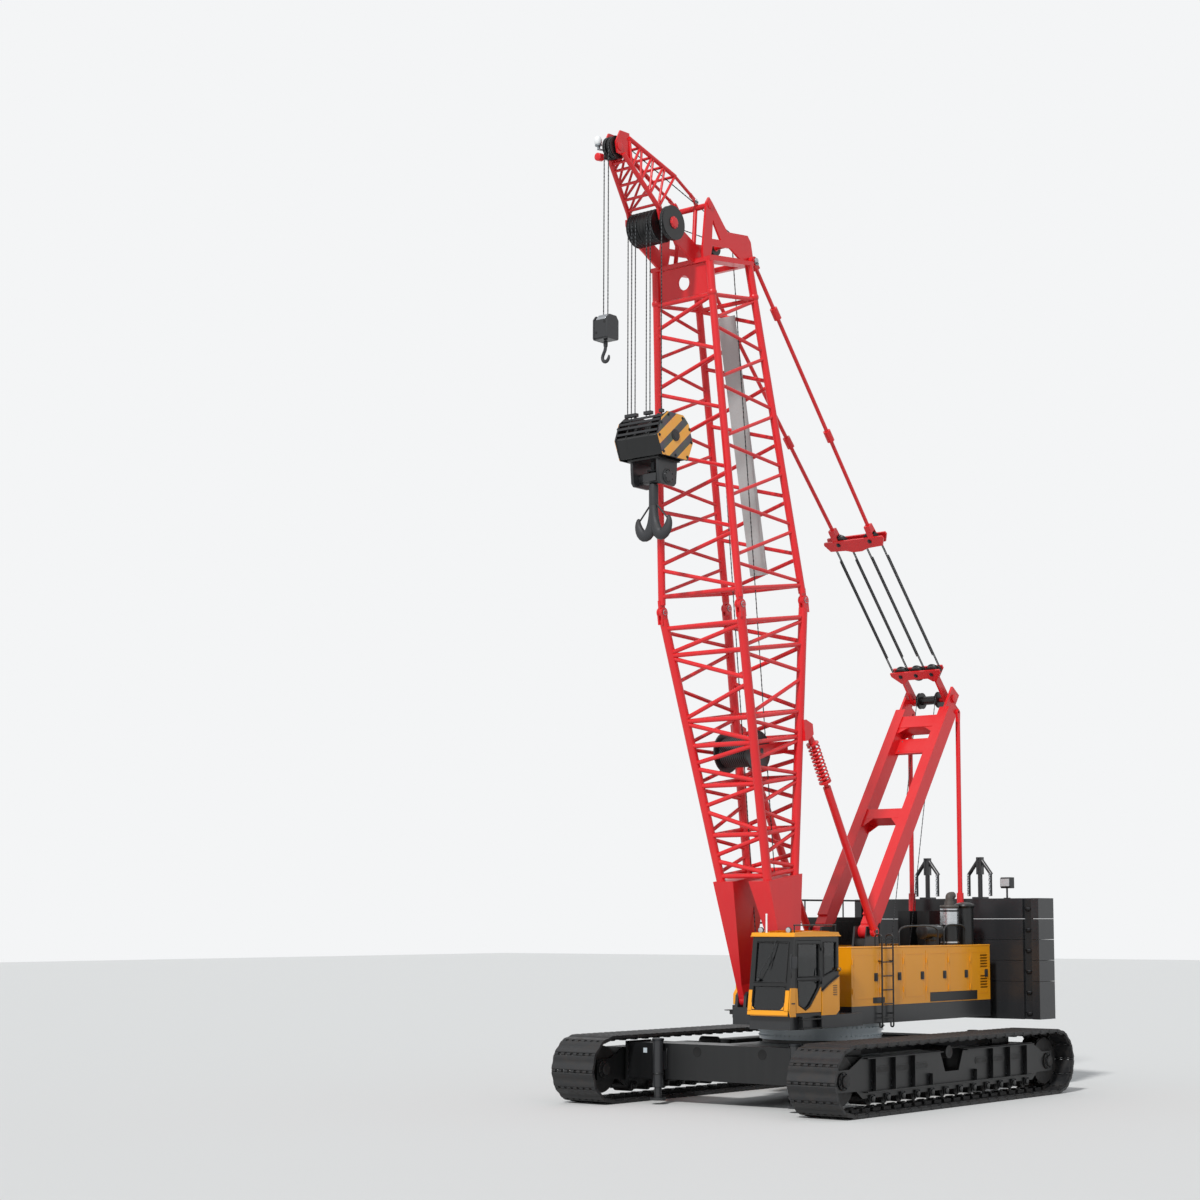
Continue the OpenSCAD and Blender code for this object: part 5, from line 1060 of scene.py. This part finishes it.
# %% Cheeks, plates and guard bars
block = Matrix.Translation((block_x, 0, block_top))
cheek = [(-.42, -.15), (-.25, 0), (.25, 0), (.43, -.15), (.56, -.52), (.4, -.9), (-.4, -.9), (-.56, -.52)]
bolt_places = ((-.22, -.07), (.22, -.07), (.44, -.26), (.5, -.52), (.37, -.83), (0, -.85), (-.37, -.83), (-.5, -.52),
               (-.44, -.26))
axle_z, trunnion_z = -.45, -1.25
stripes, plates, guards, block_sheaves, block_bolts = pieces(5, block)
for s in both:
    plates.plate(cheek, (0, s * .536, 0), .03)
    stripes.plate([(x * .99, z * .985 - .006) for x, z in cheek], (0, s * .555, 0), .009)
    plates.turned((0, s * .55, axle_z), s * Y, [(0, .12), (.022, .12), (.026, .085), (.034, .08)], 32)
    for x, z in bolt_places:
        block_bolts.bolt((x, s * .559, z), s * Y, .034)
        guards.rod((x * .97, s * .53, z), (x * .97, s * .3, z), .018, 10)
for y in (-.28, .305):
    plates.plate([(x * .985, z * .98 - .01) for x, z in cheek], (0, y, 0), .026)
for front in both:
    for x, z in ((.335, -.085), (.44, -.185), (.477, -.285), (.525, -.41)):
        guards.block((front * x - .012, -.53, z - .022), (front * x + .012, .53, z + .022))
    plates.plate([(front * x, z) for x, z in ((.52, -.47), (.548, -.52), (.398, -.885), (.375, -.88), (.52, -.52),
                                              (.5, -.47))], (0, 0, 0), 1.05)
for y in fall_ys:
    block_sheaves.turned((0, y, axle_z), Y, sheave_profile(.355, .086, .03), 40)
for low, high in ((-.45, -.155), (.04, .225), (.435, .505)):
    guards.block((.285, low, -.03), (.375, high, .035))
plates.rod((0, -.53, axle_z), (0, .53, axle_z), .055, 16)
plates.block((-.34, -.4, -.93), (.34, .4, -.885))
plates.done("hook_block_plates", black_enamel, "main_block", bevel=.004)
stripes.done("hook_block_stripes", striped_paint, "main_block")
guards.done("hook_block_guards", grey_enamel, "main_block")
block_sheaves.done("hook_block_sheaves", black_enamel, "main_block")
block_bolts.done("hook_block_bolts", bolt_steel, "main_block")
print("hook block: plates 4, sheaves", len(fall_ys))

# %% Crosshead
crosshead, trunnion = pieces(2, block)
for s in both:
    crosshead.plate([(-.3, -.86), (.3, -.86), (.295, -1.08), (.27, -1.36), (.21, -1.42), (-.21, -1.42), (-.27, -1.36),
                     (-.295, -1.08)], (0, s * .33, 0), .07)
    trunnion.turned((0, s * .36, trunnion_z), s * Y,
                    [(0, .155), (.018, .155), (.024, .13), (.05, .125), (.055, .06)], 32)
    trunnion.bolt_ring(0, s * .408, trunnion_z, s, 6, .105, .024)
trunnion.turned((0, -.3, trunnion_z), Y, [(0, .1), (.12, .12), (.48, .12), (.6, .1)], 32)
trunnion.block((-.14, -.17, -1.33), (.14, .17, -1.17))
standing = crosshead.done("crosshead_plates", grey_enamel, "main_block", bevel=.008)
trunnion.done("crosshead_bar", grey_enamel, "main_block", bevel=.004)
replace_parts(standing, "main_block")
print("crosshead made")

# %% [markdown]
# ## Forged hooks
# A ramshorn hook is forged: a round shank flows into two horns whose section is an oval that
# swells in the seat, where the load sits, and thins toward the tip. So each horn is a
# ring of points carried along a curve, with the oval's two half-widths given for
# every step. A subdivision surface rounds it as a forging is rounded. A sprung latch closes
# each mouth. The small hook has one horn, and hangs from a block with two cheeks.

# %% A forged horn
def forged(piece, path, sides=16):
    """Carries an oval along a path in the YZ plane; each step gives y, z, half-width in the plane and across it."""
    centres, rings = [Vector((0, y, z)) for y, z, _, _ in path], []
    for i, (_, _, in_plane, across) in enumerate(path):
        ahead = (centres[min(i + 1, len(path) - 1)] - centres[max(i - 1, 0)]).normalized()
        out = ahead.cross(X)
        rings.append([centres[i] + out * in_plane * a + across * b * X for a, b in circle(sides)])
    piece.loft(rings)


horn = ((0, .56, .085, .085), (.005, .42, .088, .085), (.012, .28, .095, .085), (.03, .12, .105, .085),
        (.07, -.03, .125, .085), (.15, -.135, .135, .085), (.25, -.145, .13, .083), (.335, -.07, .115, .078),
        (.385, .04, .09, .068), (.4, .13, .066, .056), (.39, .2, .042, .04), (.375, .235, .022, .022))
hook, latches, shank = pieces(3, Matrix.Translation((block_x, 0, block_top + trunnion_z - 1.01)))
for s in both:
    forged(hook, [(s * y, z, in_plane, across) for y, z, in_plane, across in horn])
    latches.rod((0, s * .09, .47), (0, s * .345, .19), .018, 10)
    latches.block((-.035, s * .075 - .02, .44), (.035, s * .075 + .02, .5))
shank.turned((0, 0, .46), Z, [(0, .085), (.04, .095), (.42, .095), (.425, .085), (.43, .06), (.88, .06), (.88, .1),
                              (.91, .105), (1.15, .105), (1.16, .09)], 32)
shank.turned((0, 0, 1.135), Z, [(0, .13), (.03, .13)], 6)
rounded(hook.done("ramshorn_hook", hook_steel, "main_hook", smooth=80), "forged_surface")
latches.done("hook_latches", dark_plastic, "main_hook")
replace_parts(shank.done("hook_shank", hook_steel, "main_hook"), "main_hook")

small_hook = Piece(Matrix.Translation((aux_x, 0, aux_top - .5 - .31)))
forged(small_hook, [(0, .3, .032, .03), (0, .21, .036, .032), (-.005, .12, .036, .033), (-.05, .06, .034, .034),
                    (-.088, -.02, .036, .035), (-.062, -.095, .04, .036), (0, -.118, .044, .036),
                    (.062, -.09, .04, .034), (.09, -.025, .03, .028), (.085, .02, .015, .015)], 12)
small_hook.turned((0, 0, .18), Z, [(0, .04), (.02, .044), (.125, .044), (.129, .03)], 20)
standing = rounded(small_hook.done("small_hook", hook_steel, "aux_hook", smooth=80), "forged_surface")
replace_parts(standing, "aux_hook")

# %% The small block
small_block, small_trim, small_top, small_hole_shades = pieces(4, Matrix.Translation((aux_x, 0, aux_top)))
small_cheek = [(-.169, -.1), (-.1, -.012), (.1, -.012), (.169, -.1), (.169, -.47), (.14, -.497), (-.14, -.497),
               (-.169, -.47)]
for s in both:
    small_block.plate(small_cheek, (0, s * .17, 0), .036)
    small_block.turned((0, s * .186, -.22), s * Y, [(0, .07), (.003, .07)], 24)
    for x, z in ((-.12, -.42), (.12, -.42), (-.12, -.14), (.12, -.14)):
        small_trim.bolt((x, s * .1865, z), s * Y, .005)
for front in both:
    for piece, width, outline in ((small_block, .31, ((.163, -.108), (.163, -.46), (.15, -.47), (.15, -.11))),
                                  (small_top, .24, ((.09, -.012), (.163, -.104), (.155, -.11), (.08, -.02)))):
        piece.plate([(front * x, z) for x, z in outline], (0, 0, 0), width)
    # black discs where the front plates have holes: painted shade of the holes
    for y, z in ((.105, -.16), (-.105, -.36)):
        small_hole_shades.turned((front * .163, front * y, z), front * X, [(-.01, .028), (.004, .028)], 16)
small_block.block((-.145, -.15, -.495), (.145, .15, -.47))
small_top.block((-.105, -.1, -.03), (.105, .1, -.004))
small_block.done("small_block_plates", grey_enamel, "aux_block", bevel=.004)
small_trim.done("small_block_bolts", bolt_steel, "aux_block")
# the hole discs are painted shade
small_hole_shades.done("small_block_hole_shade", seal_rubber, "aux_block")
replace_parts(small_top.done("small_block_cap", bright_steel, "aux_block", bevel=.004), "aux_block")
print("hooks forged")

# %% [markdown]
# ## Pins of the boom
# Two boom sections join at four pins as thick as a wrist. Each is driven through a fork and a
# lug, and a spring cotter through its end keeps it there. The stay pins and the
# jib pins are larger ones of the same kind, held by a keeper plate with two bolts.

# %% Pins, keepers and cotters
pins, keepers, keeper_bolts = pieces(3, boom)
joint_s, joint_depth, joint_width = 8.19, 2.2, 2.02
for s, face in product(both, both):
    f, y = face * joint_depth / 2, s * joint_width / 2
    pins.turned((f, y - .075, joint_s), Y, [(0, .036), (.006, .043), (.144, .043), (.15, .036)], 20)
    for end in both:
        pins.turned((f, y + end * .069, joint_s), end * Y, [(0, .062), (.012, .062), (.014, .05)], 20)
        keepers.rod((f - .06, y + end * .088, joint_s), (f + .06, y + end * .088, joint_s), .006, 8)
for f, z, y, radius in ((-.9, 15.33, .745, .062), (.4, 16.54, .3, .03)):
    for s in both:
        pins.turned((f, s * y, z), s * Y, [(-.03, radius), (.008, radius), (.012, radius * .8)], 24)
        keepers.block((f - .05, s * (y + .006) - .006, z - radius - .035),
                      (f + .05, s * (y + .006) + .006, z - radius * .55))
        for dx in (-.032, .032):
            keeper_bolts.bolt((f + dx, s * (y + .012), z - radius * .8 - .012), s * Y, .016)
pins.done("boom_pins", bright_steel, "boom", bevel=.004)
keepers.done("boom_pin_keepers", zinc_steel, "boom")
keeper_bolts.done("boom_keeper_bolts", bolt_steel, "boom")
print("boom pins: 8")

# %% [markdown]
# ## The head of the boom
# The sheave outside the arm is held by a red cap on the axle's end, with a ring of bolts. At the jib's
# tip sit a pale warning lamp and the round case of a switch that stops the hook before
# it meets the sheaves. Each is turned from its section, on a bracket that is screwed to the jib.

# %% Hub caps, lamp and switch
caps, cap_bolts, lamp, lamp_feet = pieces(4, boom)
caps.turned((1.495, .521, 15.93), Y, [(0, .125), (.01, .125), (.016, .1), (.028, .095), (.032, .06)], 32)
cap_bolts.bolt_ring(1.495, .532, 15.93, 1, 8, .11, .014)
for s in both:
    caps.turned((2.56, s * .172, 17.4), s * Y, [(0, .085), (.012, .085), (.018, .06)], 24)
    caps.turned((.32, s * .589, 16.4), s * Y, [(-.01, .085), (.012, .085), (.018, .06)], 24)
lamp_f, lamp_side = 2.74, -.23
lamp.turned((lamp_f, lamp_side, 17.5), Z,
            [(0, .06), (.02, .075), (.09, .078), (.14, .062), (.165, .03), (.17, .008)], 24)
lamp_feet.turned((lamp_f, lamp_side, 17.4), Z, [(0, .03), (.06, .03), (.065, .07), (.1, .07)], 20)
lamp_feet.block((2.52, -.25, 17.385), (2.78, -.168, 17.4))
caps.turned((lamp_f, -.21, 17.24), X, [(-.1, .045), (-.04, .05), (-.035, .08), (.09, .08), (.1, .065)], 24)
lamp_feet.block((2.5, -.215, 17.2), (2.7, -.168, 17.28))
caps.plate([(-.05, .03), (.05, .03), (.035, -.16), (0, -.2), (-.035, -.16)], (2.4, -.18, 17.2), .022)
caps.done("head_caps", red_enamel, "boom", bevel=.004)
cap_bolts.done("head_cap_bolts", bolt_steel, "boom")
lamp.done("warning_lamp", white_plastic, "boom")
lamp_feet.done("warning_lamp_bracket", zinc_steel, "boom", bevel=.004)
print("head caps, lamp, switch")

# %% [markdown]
# ## Buffer springs of the backstops
# Should a load break free at a steep angle, the boom would fall backward. Two backstops catch it: a
# rod slides in a tube, and a coil spring on the rod meets the tube's end. The
# spring is a round bar swept along a helix of ten turns, which is what a CAD loop of rings can't
# show. An inner stage between tube and rod draws out when the boom is lowered, so that no gap
# opens; here it is a mesh on no body, with its place baked into its points.

# %% Rods and coil springs
stop_frame = leaning(-.8, 3.5, 29.95)
springs, stop_rods, inner_stage, stop_caps = pieces(4, stop_frame)
coil_radius, coil_pitch, coil_foot, steps, turns = .117, .084, 3.632, 18, 10
for s in both:
    y = s * .87
    helix = enumerate(circle(steps, coil_radius) * turns + circle(steps, coil_radius)[:1])
    springs.sweep([(a, y + b, coil_foot + coil_pitch * k / steps) for k, (a, b) in helix], circle(8, .019))
    stop_rods.turned((0, y, 1.15), Z, [(0, .045), (.01, .05), (2.445, .05), (2.45, .136), (2.475, .136), (2.48, .05),
                                       (3.345, .05), (3.35, .136), (3.375, .136), (3.38, .075), (3.5, .06),
                                       (3.625, .055)], 24)
    stop_rods.turned((0, y - .054, 4.8385), Y, [(0, .072), (.006, .08), (.102, .08), (.108, .072)], 24)
    inner_stage.turned((0, y, .35), Z, [(0, .038), (.02, .043), (.88, .043), (.9, .038)], 20)
    for reach in (-.05, .05):
        stop_caps.turned((0, s * (.87 + reach), 0), s * reach * Y, [(0, .05), (.012, .05), (.016, .035)], 20)
springs.done("backstop_springs", red_enamel, "backstop_rods")
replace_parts(stop_rods.done("backstop_spring_rods", red_enamel, "backstop_rods"), "backstop_rods")
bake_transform(inner_stage.done("backstop_inner_stage", red_enamel, None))
stop_caps.done("backstop_foot_pins", bright_steel, "backstop_tubes")
print("backstop springs:", turns, "turns each")

# %% [markdown]
# ## Harps and mast
# Each harp holds its sheaves between two plates, on pins whose ends show as a row of dark bolts. The
# mast head has an opening with sloping corners for the luffing rope, and under it a bare name plate on four
# screws. Corner plates are cut from flat sheet and welded in.

# %% Harp bolts, mast gussets and plate
stay_top = boom @ Vector((-.9, 0, 15.33))
stay_axis = (stay_top - mast_axle).normalized()
stay_lean = math.atan2(stay_axis.x, stay_axis.z)
for name, start, body, ys, z in (("mast_harp_bolts", mast_axle, "mast_harp", (-.42, 0, .42), .8),
                                 ("pendant_harp_bolts", stay_top - stay_axis * 7.0, "stay", (-.42, .42), 0)):
    bolts = Piece(leaning(start.x, start.z, math.degrees(stay_lean)))
    for y, face in product(ys, both):
        bolts.turned((face * .105, y, z), face * X, [(0, .052), (.008, .052), (.012, .042)], 20)
        bolts.bolt((face * .115, y, z), face * X, .045)
    bolts.done(name, bolt_steel, body)
gussets, mast_bolts, mast_plate = pieces(3, mast)
for s in both:
    for x in (.128, -.128):
        for corner in (((.472, 5.552), (.472, 5.4), (.41, 5.43), (.27, 5.52), (.2, 5.552)),
                       ((.472, 2.952), (.472, 2.72), (.24, 2.952))):
            gussets.plate([(s * y, z) for y, z in corner], (x, 0, 0), .016, Y)
    for z in (5.02, 5.3):
        mast_bolts.bolt((-.052, s * .4, z), X, .018)
    gussets.turned((0, s * .661, mast_length), s * Y, [(0, .1), (.014, .1), (.02, .08)], 28)
    gussets.turned((0, s * .732, 0), s * Y, [(0, .095), (.012, .095), (.016, .07)], 24)
mast_plate.block((-.0595, -.43, 4.99), (-.054, .43, 5.33))
gussets.done("mast_gussets", red_enamel)
mast_bolts.done("mast_plate_screws", zinc_steel)
mast_plate.done("mast_blank_plate", red_enamel, bevel=.002)
print("mast and harps: lean", round(math.degrees(stay_lean), 2), "degrees")

# %% [markdown]
# ## Ballast
# The counterweight is a pile of cast slabs. In pockets at the front corners each slab has a staple that a
# crane's sling hooks into when the pile is built up. On top stand the lifting rams with
# their chains, and a work lamp looks back along the housings.

# %% Slab staples, chains and rear lamp
low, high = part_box("counterweight_slabs")
slabs, top = 5, high[2]
step = (top - low[2] + .008) / slabs
staples, pocket_shade_sheets, chains, rear_lamp, rear_lens = pieces(5)
bar = circle(8, .017)
staple = ((-5.093, -.065), (-5.04, -.065), (-5.015, -.04), (-5.008, 0), (-5.015, .04), (-5.04, .065), (-5.093, .065))
for i in range(-1, slabs):
    for y in (-2.2, 2.2):
        staples.sweep([(x, y + dy, low[2] + (i + .5) * step) for x, dy in staple], bar)
for s, k in product(both, both):
    for i in range(9):
        centre, flat = Vector((-5.385, s * .72 + k * .29, top + .1 + i * .055)), X if i % 2 else Y
        chains.sweep([centre + flat * .022 * a + .038 * b * Z for a, b in circle(12)], scaled(bar, .42), closed=True)
lamp_x, lamp_y = -5.2, 1.58
rear_lamp.block((-5.26, 1.52, top - .004), (-5.14, 1.64, top + .016))
rear_lamp.rod((lamp_x, lamp_y, top + .01), (lamp_x, lamp_y, top + .24), .022)
rear_lamp.plate([(-.11, -.02), (.06, -.02), (.09, .03), (.09, .19), (.06, .23), (-.11, .23)],
                (lamp_x, lamp_y, top + .25), .26)
rear_lens.block((-5.111, 1.465, top + .275), (-5.098, 1.695, top + .445))
# black sheets at the backs of the slab pockets: painted shade of the recesses
for y in (-2.2, 2.2):
    pocket_shade_sheets.block((-5.11, y - .1, low[2] + .03), (-5.086, y + .1, top - .03))
pocket_shade_sheets.done("slab_pocket_painted_shade", seal_rubber)
staples.done("slab_staples", bolt_steel)
chains.done("ballast_chains", zinc_steel)
rear_lamp.done("rear_lamp", dark_plastic, bevel=.006)
rear_lens.done("rear_lamp_lens", lamp_lens, bevel=.003)
print("slabs:", slabs + 1, "step", round(step, 3))

# %% [markdown]
# ## The far front corner of the deck
# Beside the boom's far foot a small yellow locker hangs on the deck's edge over a black box of valves, with a
# step in front of it. The locker is cut to an outline with a sloping lid, and two straps carry the step.

# %% Locker, valve box and step
locker, valve_box = pieces(2)
locker.plate([(1.58, 1.995), (1.83, 1.995), (1.83, 2.22), (1.74, 2.33), (1.58, 2.33)], (0, -.875, 0), .15)
valve_box.plate(sheet(1.56, 1.72, 1.85, 1.985), (0, -.87, 0), .17)
valve_box.block((1.8, -1.02, 1.875), (2.04, -.79, 1.895))
for x in (1.84, 2.0):
    valve_box.block((x, -.9, 1.8), (x + .02, -.781, 1.88))
for z in (1.79, 1.91):
    valve_box.rod((1.5, -.87, z), (1.57, -.87, z), .018, 12)
locker.done("corner_locker", yellow_enamel, bevel=.008)
valve_box.done("corner_valve_box", black_enamel, bevel=.006)
print("corner locker made")
